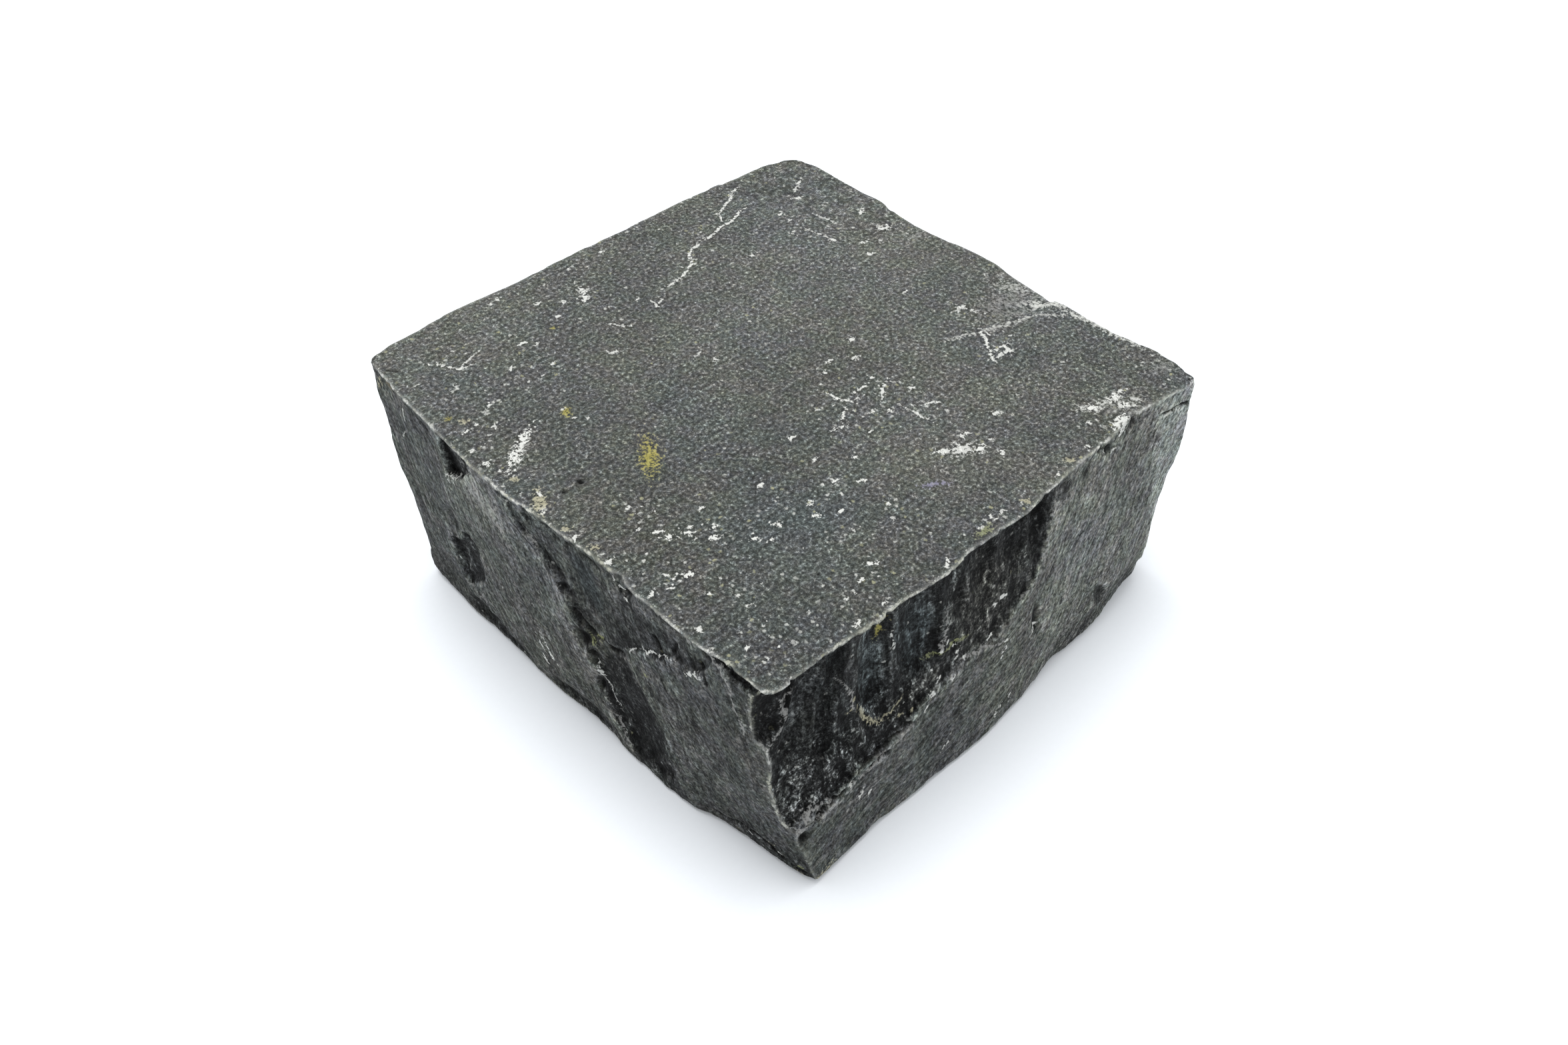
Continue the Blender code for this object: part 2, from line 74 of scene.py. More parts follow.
FLAT_SPOT = [(-33, -32), (-12, -36), (14, -35), (33, -27), (37, -8), (35, 17), (26, 30), (2, 34), (-20, 31), (-33, 22), (-37, -4)]

# South side: the scoop's foot (x, height), its depth (x, depth) and how that
# depth is reached on the way down (0 at the arris, 1 at the foot).
SCOOP_FOOT = [(-57, 13.5), (-49, 14.2), (-46, 14.8), (-42.5, 15.2), (-39.6, 15.8), (-36.5, 16.6), (-33.5, 18.0), (-27.5, 18.4), (-24.5, 19.6), (-21.3, 20.6), (-18.5, 22.6), (-14, 23.0), (-10, 24.2), (-5.5, 24.6), (-1.5, 24.0), (1.4, 25.2), (4, 28.2), (7, 30.2), (9.2, 33.0), (10.8, 37.0), (11.8, 42.0), (13.0, 48.0)]
SCOOP_DEPTH = [(-57, 2.0), (-48, 2.0), (-36, 2.2), (-22, 2.0), (-8, 1.35), (4, 1.1), (9, 0.9), (14, 0.0)]
SCOOP_FALL = [(0.0, 0.0), (0.03, 0.30), (0.08, 0.66), (0.14, 0.90), (0.35, 1.0), (0.50, 0.88), (0.66, 1.20), (0.83, 1.27), (0.94, 0.92), (0.99, 0.25), (1.005, 0.0)]
SCOOP_FALL_END = [(0.0, 0.0), (0.03, 0.34), (0.08, 0.60), (0.14, 0.70), (0.30, 0.72), (0.50, 0.58), (0.70, 0.44), (0.90, 0.30), (0.97, 0.16), (1.005, 0.0)]
SCOOP_FALL_RIGHT = [(0.0, 0.0), (0.03, 0.26), (0.08, 0.46), (0.14, 0.54), (0.35, 0.66), (0.60, 0.70), (0.80, 0.54), (0.93, 0.36), (0.985, 0.16), (1.005, 0.0)]
# Flutes: (x at the arris, lean, half width, depth, lowest height)
FLUTES = [
    (-41.2, -0.26, 2.8, 0.9, 30),
    (-37.0, -0.14, 2.3, 1.1, 24),
    (-30.2, 0.08, 3.8, 1.25, 26),
    (-20.6, 0.10, 4.9, 1.15, 28),
    (-12.2, 0.08, 2.4, 0.7, 37),
    (-6.4, 0.12, 3.2, 0.6, 35),
    (1.2, 0.06, 3.4, 0.7, 38),
    (8.0, 0.02, 2.6, 0.7, 40),
]
# Patches of a face that differ from the rest of it: (across, height, half
# width, half height, turn, how much paler, how much grittier, how much bluer).
SOUTH_PATCHES = [
    (-43.2, 41.0, 2.4, 6.8, -24, 0.80, 0.0, 0.1),
    (-38.4, 43.5, 2.0, 4.5, -26, -0.05, 0.0, 0.4),
    (-36.6, 32.0, 4.6, 7.0, 0, -0.22, 0.5, 0.2),
    (-44.0, 28.0, 5.0, 6.0, 0, 0.25, 0.4, 0.0),
    (-29.2, 37.0, 3.2, 11.0, 5, 1.00, -0.1, 0.9),
    (-24.0, 42.5, 1.3, 5.5, 4, 0.75, 0.0, 0.7),
    (-19.2, 37.0, 3.8, 8.5, 4, 0.55, -0.1, 1.0),
    (-4.5, 35.5, 8.5, 10.0, 0, 0.26, 0.35, -0.7),
    (6.5, 43.0, 4.5, 5.0, -30, -0.20, 0.5, 0.0),
    (-41.5, 21.5, 8.0, 5.5, 15, 0.62, 0.5, -0.1),
    (-19.5, 25.5, 7.0, 2.4, 12, 0.40, 0.5, -0.6),
    (27.0, 11.5, 6.5, 3.4, 35, -0.30, 0.3, 0.0),
    (9.6, 19.8, 1.1, 4.4, -12, -0.30, 0.2, 0.0),
]
WEST_PATCHES = [
    (-10.8, 42.0, 3.0, 6.0, -14, -0.55, 0.0, 0.9),
    (-2.0, 45.0, 4.5, 3.2, 30, 0.28, 0.1, 0.0),
    (-19.5, 42.5, 4.0, 5.0, 0, 0.16, 0.1, 0.0),
    (-9.2, 26.5, 1.3, 3.6, -20, -0.7, 0.3, 0.0),
    (-24.0, 37.0, 5.5, 5.0, 0, 0.10, 0.2, 0.0),
    (-33.0, 22.0, 8.0, 12.0, -15, 0.05, 0.2, -0.2),
    (22.0, 33.0, 9.0, 5.0, 30, 0.08, 0.0, 0.2),
]

# West side: right edge of the raised slab (height, y); the pale ledge right of
# it and the arc by the front arris, both (y, height) or (height, y).
SLAB_EDGE = [(-2, -18.0), (1, -16.6), (4, -15.3), (7, -13.6), (10, -12.5), (14, -11.2), (17, -10.9), (22, -9.2), (28, -7.6), (32, -6.0), (36, -3.2), (41, 0.0), (45, 4.6), (52, 9.0)]
LEDGE = [(-39, 48.5), (-37.4, 44.5), (-36.1, 42.7), (-34.5, 42.0), (-30.6, 41.4), (-28.0, 38.3), (-25.6, 37.3), (-23.6, 36.8), (-19.7, 33.7), (-16.5, 30.4), (-13.4, 29.2), (-9.4, 29.5), (-4, 31.5)]
ARC = [(20, -49.5), (30, -46.8), (36.6, -44.9), (40.0, -44.0), (42.5, -43.1), (45.6, -42.2), (48.0, -40.7), (49.6, -38.1), (51, -34.0)]


# --------------------------------------------------------------------- helpers
def along(points, t):
    xs = np.array([p[0] for p in points], float)
    ys = np.array([p[1] for p in points], float)
    slope = np.gradient(ys, xs)
    t = np.clip(t, xs[0], xs[-1])
    i = np.clip(np.searchsorted(xs, t) - 1, 0, len(xs) - 2)
    w = xs[i + 1] - xs[i]
    s = (t - xs[i]) / w
    return (
        ys[i] * (1 + 2 * s) * (1 - s) ** 2
        + slope[i] * w * s * (1 - s) ** 2
        + ys[i + 1] * s * s * (3 - 2 * s)
        + slope[i + 1] * w * s * s * (s - 1)
    )


def straight(points, t):
    return np.interp(t, [p[0] for p in points], [p[1] for p in points])


def ease(low, high, t):
    s = np.clip((t - low) / (high - low), 0.0, 1.0)
    return s * s * (3 - 2 * s)


_rng = np.random.RandomState(20)
PERM = np.tile(_rng.permutation(256), 3).astype(np.int32)
_g = _rng.normal(size=(256, 3))
GRAD = _g / np.linalg.norm(_g, axis=1, keepdims=True)
RAND = _rng.uniform(size=(256, 6))


def noise(x, y, z, size, seed):
    """Smooth unevenness, about -1 to 1, with bumps about `size` across."""
    sx, sy, sz = size if isinstance(size, tuple) else (size, size, size)
    x = np.asarray(x, float) / sx + seed * 17.17
    y = np.asarray(y, float) / sy + seed * 31.71
    z = np.asarray(z, float) / sz + seed * 7.37
    ix, iy, iz = np.floor(x), np.floor(y), np.floor(z)
    fx, fy, fz = x - ix, y - iy, z - iz
    ix, iy, iz = (k.astype(np.int32) & 255 for k in (ix, iy, iz))
    gx, gy, gz = (f * f * f * (f * (f * 6 - 15) + 10) for f in (fx, fy, fz))
    total = 0.0
    for dx in (0, 1):
        a = PERM[ix + dx]
        wx = gx if dx else 1 - gx
        for dy in (0, 1):
            b = PERM[a + iy + dy]
            wxy = wx * (gy if dy else 1 - gy)
            for dz in (0, 1):
                g = GRAD[PERM[b + iz + dz]]
                total = total + wxy * (gz if dz else 1 - gz) * (g[..., 0] * (fx - dx) + g[..., 1] * (fy - dy) + g[..., 2] * (fz - dz))
    return total * 1.7


def chips(u, v, su, sv, seed, turn=0.0, tilt=0.5):
    """Small flake scars side by side, 0 in the deepest to about 1 on ridges."""
    c, s = math.cos(math.radians(turn)), math.sin(math.radians(turn))
    a, b = (u * c + v * s) / su + seed * 3.3, (v * c - u * s) / sv + seed * 5.9
    ia, ib = np.floor(a), np.floor(b)
    best = np.full_like(a, 9.0)
    for da in (-1, 0, 1):
        for db in (-1, 0, 1):
            ca, cb = ia + da, ib + db
            r = RAND[PERM[PERM[(ca.astype(np.int32) + seed) & 255] + (cb.astype(np.int32) & 255)]]
            x, y = a - ca - r[..., 0], b - cb - r[..., 1]
            h = 0.35 * r[..., 2] + tilt * (x * (r[..., 3] - 0.5) + y * (r[..., 4] - 0.5)) + 0.8 * (x * x + y * y)
            best = np.minimum(best, h)
    return best


def oval(u, v, cu, cv, ru, rv, turn=0.0):
    c, s = math.cos(math.radians(turn)), math.sin(math.radians(turn))
    a, b = u - cu, v - cv
    return ((a * c + b * s) / ru) ** 2 + ((b * c - a * s) / rv) ** 2


def bowl(u, v, cu, cv, ru, rv, depth, turn=0.0):
    return depth * (1 - oval(u, v, cu, cv, ru, rv, turn))


def soften(b, k):
    """max(b, 0) with its crease rounded over."""
    return np.where(np.abs(b) < k, (b + k) ** 2 / (4 * k), np.maximum(b, 0))


def patches(rows, u, v):
    """How much paler, grittier and bluer the patches make each point."""
    found = np.zeros((3, len(u)))
    for cu, cv, ru, rv, turn, *amounts in rows:
        weight = np.exp(-oval(u, v, cu, cv, ru, rv, turn) ** 2)
        found += np.array(amounts)[:, None] * weight
    return found


def within(ring, u, v):
    """Distance inside a convex outline given anticlockwise; negative outside."""
    best = np.full_like(u, 1e9)
    for i, (ax, ay) in enumerate(ring):
        bx, by = ring[(i + 1) % len(ring)]
        length = math.hypot(bx - ax, by - ay)
        best = np.minimum(best, ((bx - ax) * (v - ay) - (by - ay) * (u - ax)) / length)
    return best


def from_line(points, u, v):
    """Distance to a broken line."""
    best = np.full_like(u, 1e9)
    for (ax, ay), (bx, by) in zip(points, points[1:]):
        dx, dy = bx - ax, by - ay
        t = np.clip(((u - ax) * dx + (v - ay) * dy) / (dx * dx + dy * dy), 0, 1)
        best = np.minimum(best, np.hypot(u - ax - t * dx, v - ay - t * dy))
    return best


def ruled(top, mid, foot, t, z):
    s = np.clip(z / HEIGHT, -0.06, 1.06)
    a, b, c = along(foot, t), along(mid, t), along(top, t)
    return a * (1 - s) * (1 - 2 * s) + 4 * b * s * (1 - s) + c * s * (2 * s - 1)


# ----------------------------------------------------------------------- faces
# Each gives how far out the face lies. With `looks` it also gives how fresh
# the stone is there (0 dusty, 1 fresh and dark; that darkness is also painted
# shade under the arrises, in the pocket and on the down-facing bevel), how deep
# in a crevice (painted shade, drawn black), and how much paler or darker than
# the common grey (natural logarithm).
def west(y, z, looks=False):
    x = -50.0
    low = ease(50.0, 48.5, z)
    wy = y + low * (0.8 * noise(x, y, z, 8.0, 3) + 0.30 * noise(x, y, z, 2.4, 7) + 0.12 * noise(x, y, z, 1.1, 9))
    wz = z + low * (0.8 * noise(x, y, z, 8.0, 4) + 0.30 * noise(x, y, z, 2.4, 8) + 0.12 * noise(x, y, z, 1.1, 10))
    ry = wy + low * 1.3 * noise(x, y, z, 3.6, 21)
    rz = wz + low * 1.3 * noise(x, y, z, 3.6, 22)
    out = ruled(WEST_TOP, WEST_MID, WEST_FOOT, y, z) + GROW

    beyond = along(SLAB_EDGE, wz) - wy
    foot_fade = 0.25 + 0.75 * ease(0.5, 13, wz)
    patchy = ease(0.0, 0.5, noise(x, y, z, 4.0, 11))
    step = (0.34 + 0.66 * (1 - ease(4.0, 22.0, beyond))) * ease(0.0, 0.4 + 1.9 * (1 - patchy), beyond)
    step *= (0.35 + 0.65 * ease(50, 39, wz)) * foot_fade * (1 - ease(24, 40, beyond))
    groove = 0.34 * np.exp(-(((beyond - 0.35) / 0.26) ** 2)) * ease(3, 10, wz) * ease(46, 38, wz) * patchy

    over = wz - straight(LEDGE, wy)
    ledge = (0.62 - 0.024 * np.clip(over, 0, 20)) * ease(0.0, 0.4 + 0.9 * (1 - patchy), over)
    ledge *= ease(-39.5, -37.5, wy) * (1 - ease(-16, -10, wy))
    jag = 0.5 * noise(x, y, z, 1.4, 18)
    slit = np.exp(-((from_line([(-7.4, 31.4), (-9.4, 29.7), (-11.0, 29.1), (-13.4, 29.0), (-16.8, 30.4)], wy, wz + jag) / 0.42) ** 2))
    creases = from_line([(-26.6, 42.6), (-27.8, 40.9), (-28.9, 39.3)], wy, wz + jag)
    creases = np.minimum(creases, from_line([(-30.8, 45.8), (-30.3, 42.5)], wy, wz + jag))
    creases = np.minimum(creases, from_line([(-36.3, 45.4), (-37.3, 44.3), (-37.7, 42.0)], wy, wz))
    creases = np.minimum(creases, from_line([(-18.2, 48.4), (-18.9, 46.6)], wy, wz))
    creases = np.exp(-((creases / 0.27) ** 2))
    wedge_in = within([(-37.4, 51.0), (-54.0, 51.0), (-54.0, 45.0), (-47.5, 46.4), (-41.5, 47.8), (-37.4, 49.6)], wy, wz)
    wedge = np.clip(1.6 * wedge_in, 0, 0.85)

    notch_in = within([(16.6, 50.6), (16.2, 46.6), (21.8, 42.6), (26.6, 39.8), (26.3, 50.6)], wy, wz)
    notch = np.clip(notch_in * 2.6, 0, 0.55 + 0.14 * (50 - wz)) * (notch_in > 0)

    hollow = np.minimum(soften(bowl(ry, rz, 26.2, 18.2, 5.0, 9.2, 1.9, 22), 0.35), 1.2)
    dent = soften(bowl(ry, rz, 29.5, 26.5, 4.2, 5.0, 0.8, 20), 0.3)
    left = 0.035 * np.clip(wy - 27.5, 0, 20)
    foot_l = bowl(wy, wz, 22.0, 1.0, 13.0, 6.0, 0.9, 6) * ease(-0.5, 4, wz)
    foot_m = bowl(wy, wz, -1.0, 0.0, 13.0, 6.5, 0.9, -8) * ease(-0.5, 4, wz)
    coarse = soften(bowl(ry, rz, -18.8, 13.0, 8.2, 16.5, 1.5, -13), 0.45) * (0.3 + 0.7 * ease(0, 9, wz))
    pit = 1.5 * np.exp(-oval(wy, wz, -7.4, 26.8, 1.4, 2.0, 20)) + 1.0 * np.exp(-oval(wy, wz, -10.3, 16.3, 0.7, 2.3, 8))
    under = 0.9 * np.exp(-oval(wy, wz, -20.8, 47.7, 1.2, 0.9)) + 0.5 * np.exp(-oval(wy, wz, -12.5, 48.2, 1.8, 0.7))
    deep = np.maximum.reduce([step, ledge, notch, hollow, dent, left, foot_l, foot_m, coarse, wedge, np.zeros_like(y)])
    past_arc = straight(ARC, wz) - wy
    deep = deep + pit + under + groove + 0.6 * slit + 0.4 * creases
    deep = deep + 0.045 * np.clip(past_arc, 0, 9) * ease(24, 36, wz) - 0.14 * np.exp(-((past_arc / 0.5) ** 2)) * ease(34, 41, wz)
    crack = from_line([(-56, 0.8), (-51.6, 2.2), (-48.1, 4.0), (-46.3, 5.2), (-44.5, 6.0), (-41, 4.9), (-37.9, 3.8), (-34.4, 3.6)], wy, wz + jag)
    split = np.exp(-((crack / 0.36) ** 2)) * (0.4 + 0.6 * patchy) * (1 - ease(-38, -33, wy))
    deep = deep + 0.8 * split
    out = out - deep * low

    hackly = np.maximum.reduce([ease(0.05, 0.6, coarse), 0.7 * ease(0, 1.5, beyond) * (1 - ease(5, 16, beyond)) * ease(42, 30, wz), 0.8 * ease(0.1, 0.8, hollow), 0.6 * ease(0.1, 0.6, ledge), 0.7 * ease(0.1, 0.5, np.maximum(foot_l, foot_m)), 0.5 * (notch_in > 0.3)])
    hackly = hackly * low
    scars, scales = chips(wy, wz, 2.9, 4.2, 5, 18) - 0.55, chips(y, z, 1.3, 2.0, 6, 30) - 0.55
    out = out + hackly * (0.62 * scars + 0.34 * scales)
    out = out + low * 0.26 * (chips(wy, wz, 7.0, 13.0, 9, 24, 0.9) - 0.55)
    out = out + low * 0.14 * (chips(wy, wz, 2.4, 6.5, 10, 30, 0.9) - 0.55) * (0.7 + hackly)
    streak = noise(x, y - 0.35 * z, z * 0.16, 1.1, 12)
    out = out + low * (0.20 * noise(x, y, z, 11.0, 5) + 0.10 * noise(x, y, z, 4.2, 6) + 0.05 * noise(x, y, z, 1.7, 16) + 0.07 * streak)
    out = out + 0.03 * noise(x, y, z, 0.9, 17)
    bite = ease(0.22, 0.75, noise(x, y, 0.8 * z, 3.3, 25) + 0.4 * noise(x, y, z, 1.2, 24)) * ease(46.4, 48.8, z)
    out = out - 0.55 * bite + ease(46, 49, z) * (0.10 * noise(x, y, z, 2.4, 23) + 0.07 * noise(x, y, z, 1.1, 26))
    if not looks:
        return out
    cloud = 0.35 * noise(x, y, z, (9.0, 4.0, 9.0), 14) + 0.25 * noise(x, y, z, 2.6, 15)
    # fresh: darker fresh fracture, and also painted shade in the notch, the wedge and the bites under the arris
    fresh_and_shade = np.maximum.reduce([
        0.85 * ease(0.1, 0.8, notch),
        (0.75 + cloud) * ease(0.1, 0.9, hollow),
        (0.95 + cloud) * ease(0.0, 0.8, coarse),
        (0.14 + 0.10 * (1 - ease(2, 9, beyond)) + 1.7 * cloud) * ease(0, 0.8, beyond) * (1 - ease(9, 17, beyond)) * ease(48.5, 45, wz),
        (0.45 + cloud) * ease(0.1, 0.6, ledge) * ease(47.5, 44.5, wz),
        0.95 * ease(0.05, 0.6, wedge),
        (0.30 + cloud) * ease(0.0, 1.2, past_arc) * ease(36, 45, wz),
        (0.65 + cloud) * ease(0.05, 0.5, np.maximum(foot_l, foot_m)),
        (0.55 + cloud) * ease(-34, -44, wy) * ease(9.5, 5, wz),
        (0.35 + cloud) * ease(30, 34, wy) * ease(14, 6, wz),
        0.65 * bite * ease(49.6, 48.6, z),
    ])
    fresh_and_shade = np.clip(fresh_and_shade, 0, 1.3)
    # crevice: painted shade, drawn black, in the pits, slits, grooves, creases and the dents under the arris
    crevice_shade = np.clip(0.8 * pit + under + 0.95 * split + 1.7 * groove + slit + 0.9 * creases, 0, 1)
    grit = np.maximum.reduce([ease(0.0, 0.6, coarse), 0.55 * ease(0.1, 0.9, hollow), 0.5 * ease(0, 0.6, foot_l), 0.5 * ease(0, 0.6, foot_m), 0.7 * ease(0, 0.5, wedge), 0.4 * ease(0.1, 0.6, notch), 0.8 * ease(-34, -44, wy) * ease(9.5, 5, wz)])
    # the whole face set darker than the south face: painted shade standing in for light coming more from the right
    tone = 0.74 * np.exp(-oval(wy, wz, 13.5, 43.0, 8.0, 3.8, 32)) - 0.15 - 0.18 * ease(2, 8, beyond) - 0.58 * ease(0, 0.6, coarse)
    tone = tone + 0.16 * np.exp(-(((beyond + 2.2) / 2.4) ** 2)) * ease(16, 30, wz) * ease(48, 44, wz) - 0.12 * ease(26, 32, wy)
    tone = tone - 0.18 * ease(16, 4, wz) + 0.15 * np.exp(-((past_arc / 1.5) ** 2)) * ease(34, 41, wz) + 0.5 * cloud
    tone = tone + hackly * np.clip(2.0 * (scars + 0.12) + 1.3 * (scales + 0.12), -0.7, 0.9)
    more = patches(WEST_PATCHES, ry, rz)
    return out, fresh_and_shade, crevice_shade, tone + more[0], np.clip(grit + more[1], 0, 1.3), more[2]


def south(x, z, looks=False):
    y = -50.0
    low = ease(50.0, 48.5, z)
    wx = x + low * (0.7 * noise(x, y, z, 8.0, 13) + 0.30 * noise(x, y, z, 2.4, 17) + 0.12 * noise(x, y, z, 1.1, 19))
    wz = z + low * (0.7 * noise(x, y, z, 8.0, 14) + 0.30 * noise(x, y, z, 2.4, 18) + 0.12 * noise(x, y, z, 1.1, 20))
    out = ruled(SOUTH_TOP, SOUTH_MID, SOUTH_FOOT, x, z) + GROW
    foot = along(SCOOP_FOOT, wx)
    tz = wz + low * (0.7 * noise(x, y, z, 2.3, 39) + 0.35 * noise(x, y, z, 1.0, 40))
    t = (HEIGHT - tz) / (HEIGHT - foot + 0.01)
    reach = along(SCOOP_DEPTH, wx) * (wx < 14)
    near_front = 1 - ease(-47.5, -40, wx)
    soft = ease(-22, -7, wx)
    fall = near_front * straight(SCOOP_FALL, t) + (1 - near_front) * straight(SCOOP_FALL_RIGHT, t)
    scoop = reach * (soft * straight(SCOOP_FALL_END, t) + (1 - soft) * fall)
    flute, ribs = np.zeros_like(x), np.full_like(x, 9.0)
    for start, lean, half, deep, lowest in FLUTES:
        off = (wx - start - lean * (HEIGHT - wz)) / half
        channel = (1 - off * off) * ease(lowest - 2.5, lowest + 4, wz)
        flute = np.maximum(flute, 1.35 * deep * channel)
        ribs = np.minimum(ribs, np.abs(np.abs(off) - 0.86) * half + 9.0 * (wz < lowest + 2))
    inner = ease(0.0, 0.8, reach) * (1 - ease(0.97 - 0.10 * soft, 1.0, t))
    scoop = scoop + flute * ease(50.0, 46.0, z) * inner
    bevel = 0.13 * np.clip(11.5 - wz, 0, 20) * ease(13, 24, wx) * (1 - ease(45, 52, wx))
    away = 0.07 * np.clip(wx - 41.0 + 0.25 * (wz - 36), 0, 14) * ease(5, 25, wz)
    notch = bowl(wx, wz, 33.5, 10.0, 2.2, 4.4, 1.0, 25)
    pocket_in = within([(-60, 51.5), (-60, 36), (-50.4, 34.8), (-46.9, 39.2), (-44.0, 45.7), (-43.0, 51.5)], wx, wz)
    pocket = np.clip(pocket_in * 1.4, 0, 1.1) + 0.9 * ease(-46.5, -50.5, wx) * ease(0, 1.2, pocket_in)
    pocket = pocket * ease(50.4, 46.6, wz)
    deep = np.maximum.reduce([scoop, bevel, away, notch, np.zeros_like(x)])
    deep = np.maximum(deep, 0.75 * scoop + pocket)
    pits = (
        1.1 * np.exp(-oval(wx, wz, 27.6, 48.0, 1.5, 0.9, -25))
        + 0.9 * np.exp(-oval(wx, wz, 8.6, 46.2, 1.0, 2.0, 18))
        + 0.8 * np.exp(-oval(wx, wz, 4.5, 47.6, 2.2, 0.7, 0))
        + 0.7 * np.exp(-oval(wx, wz, -15.0, 47.4, 1.3, 1.1, 0))
        + 0.7 * np.exp(-oval(wx, wz, -8.0, 47.8, 2.0, 0.8, 0))
        + 0.8 * np.exp(-oval(wx, wz, 11.0, 20.0, 0.9, 3.4, 12))
        + 1.1 * np.exp(-oval(wx, wz, -45.5, 12.2, 1.1, 1.4, 30))
        + 0.6 * np.exp(-oval(wx, wz, -14.2, 32.4, 0.9, 0.9, 0))
    )
    jag = 0.5 * noise(x, y, z, 1.4, 22)
    gap = from_line([(-42.6, 14.6), (-39.6, 15.4), (-37.7, 15.8), (-35.4, 16.4), (-32.8, 18.0), (-30.2, 18.3), (-27.9, 18.8), (-24.8, 19.5), (-21.3, 20.0)], wx, wz + jag)
    slot = from_line([(-30.4, 17.0), (-28.4, 17.5), (-26.2, 17.3)], wx, wz + jag)
    crack = from_line([(43.3, 45.9), (47.0, 45.4), (52.0, 44.0)], wx, wz)
    wide = np.clip(0.30 + 0.26 * noise(x, y, z, 2.6, 21), 0.10, 0.55)
    slits = 1.0 * np.exp(-((gap / wide) ** 2)) + 0.8 * np.exp(-((slot / 0.26) ** 2)) + 0.7 * np.exp(-((crack / 0.28) ** 2))
    out = out - (deep + pits + slits) * low

    coarse = ease(0.40, 0.72, t) * ease(1.02, 0.98, t) * ease(-53, -48, wx) * (1 - ease(-26, -12, wx))
    brown = ease(-17, -12, wx) * (1 - ease(8, 12, wx)) * ease(1.0, 0.94, t)
    in_pocket = 1.0 * (pocket_in > 0.2)
    hackly = np.clip(0.25 * inner + 0.75 * coarse + 0.42 * brown + 0.6 * in_pocket + 0.4 * ease(0.2, 1.0, bevel), 0, 1.1) * low
    scars, scales = chips(wx, wz, 2.5, 4.2, 25, -14) - 0.55, chips(x, z, 1.2, 2.0, 26, -22) - 0.55
    slivers = chips(wx, wz, 2.2, 10.0, 35, 9, 0.9) - 0.55
    out = out + hackly * (0.62 * scars + 0.34 * scales)
    out = out + low * inner * 0.55 * slivers
    lower = ease(1.0, 1.04, t) * (1 - ease(4, 16, wx))
    out = out + low * 0.16 * (chips(wx, wz, 7.5, 2.3, 28, 12, 0.9) - 0.55) * lower
    out = out + low * 0.20 * (chips(wx, wz, 5.5, 14.0, 29, -24, 0.9) - 0.55) * ease(8, 16, wx)
    out = out + low * 0.10 * (chips(wx, wz, 2.2, 6.5, 30, -24, 0.9) - 0.55)
    steep = noise(x - 0.42 * z, y, z * 0.15, 1.0, 32)
    level = noise(x * 0.16, y, z - 0.16 * x, 1.0, 33)
    out = out + low * (0.22 * noise(x, y, z, 12.0, 15) + 0.09 * noise(x, y, z, 4.2, 16) + 0.045 * noise(x, y, z, 1.7, 26))
    out = out + low * (0.07 * steep * (1 - lower) + 0.07 * level * lower) + 0.025 * noise(x, y, z, 0.9, 27)
    bite = ease(0.22, 0.75, noise(x, y, 0.8 * z, 3.3, 41) + 0.4 * noise(x, y, z, 1.2, 42)) * ease(46.4, 48.8, z)
    out = out - 0.60 * bite + ease(46, 49, z) * (0.12 * noise(x, y, z, 2.4, 44) + 0.08 * noise(x, y, z, 1.1, 45))
    if not looks:
        return out
    cloud = 0.40 * noise(x - 0.1 * z, y, z, (2.6, 9.0, 9.0), 34) + 0.22 * noise(x, y, z, 2.2, 36)
    # fresh: darker fresh fracture in the scoop, and also painted shade in the pocket and bites under the arris and on
    # the down-facing bevel
    fresh_and_shade = ease(0.03, 0.30, scoop) * inner * (1.05 - 0.30 * brown + cloud)
    fresh_and_shade = np.maximum.reduce([fresh_and_shade, 1.35 * ease(0.0, 0.4, pocket), (0.35 + cloud) * ease(0.15, 1.0, bevel), 0.4 * ease(0, 0.8, notch), 0.6 * ease(11, 12.5, wx) * (1 - ease(14, 16.5, wx)) * ease(44, 46.5, wz)])
    fresh_and_shade = np.clip(np.maximum(fresh_and_shade, 0.8 * bite * ease(49.6, 48.6, z)), 0, 1.5)
    # crevice: painted shade, drawn black, in the pits, slits and the pocket under the arris
    crevice_shade = np.clip(0.8 * pits + 1.2 * slits + 0.55 * ease(0.2, 0.8, pocket), 0, 1)
    chamfer = ease(0.0, 0.35, away)
    # the face set paler, more so at the right end and chamfer, with the lower facet darker at the left: partly dust and
    # scuffs, partly painted light from the right; the down-facing bevel set darker is painted shade
    tone = 0.60 * chamfer + 0.20 + 0.14 * ease(11, 20, wx) + 0.08 * ease(10, 16, wx) * (1 - ease(24, 32, wx)) - 0.22 * brown - lower * (0.40 - 0.28 * ease(-12, 4, wx)) - 0.04 * inner - 0.25 * ease(0.3, 1.3, bevel)
    # painted shade: darker along the creases at the flute edges and in the pocket under the arris
    tone = tone - 0.95 * np.exp(-((ribs / 0.7) ** 2)) * inner * ease(48.5, 46, wz)
    tone = tone + 0.25 * cloud * (1 - inner) - 0.3 * ease(0.2, 1.0, pocket)
    grit = np.maximum.reduce([1.0 * coarse * inner, 1.0 * in_pocket, 0.55 * brown * inner, 0.25 * inner, 0.3 * ease(0.2, 1.0, bevel)])
    tone = tone + np.clip(hackly * (2.2 * (scars + 0.12) + 1.5 * (scales + 0.12)) + inner * 0.6 * (slivers + 0.1), -0.8, 1.0)
    more = patches(SOUTH_PATCHES, wx, wz)
    return out, fresh_and_shade, crevice_shade, tone + more[0], np.clip(grit + more[1], 0, 1.4), more[2]


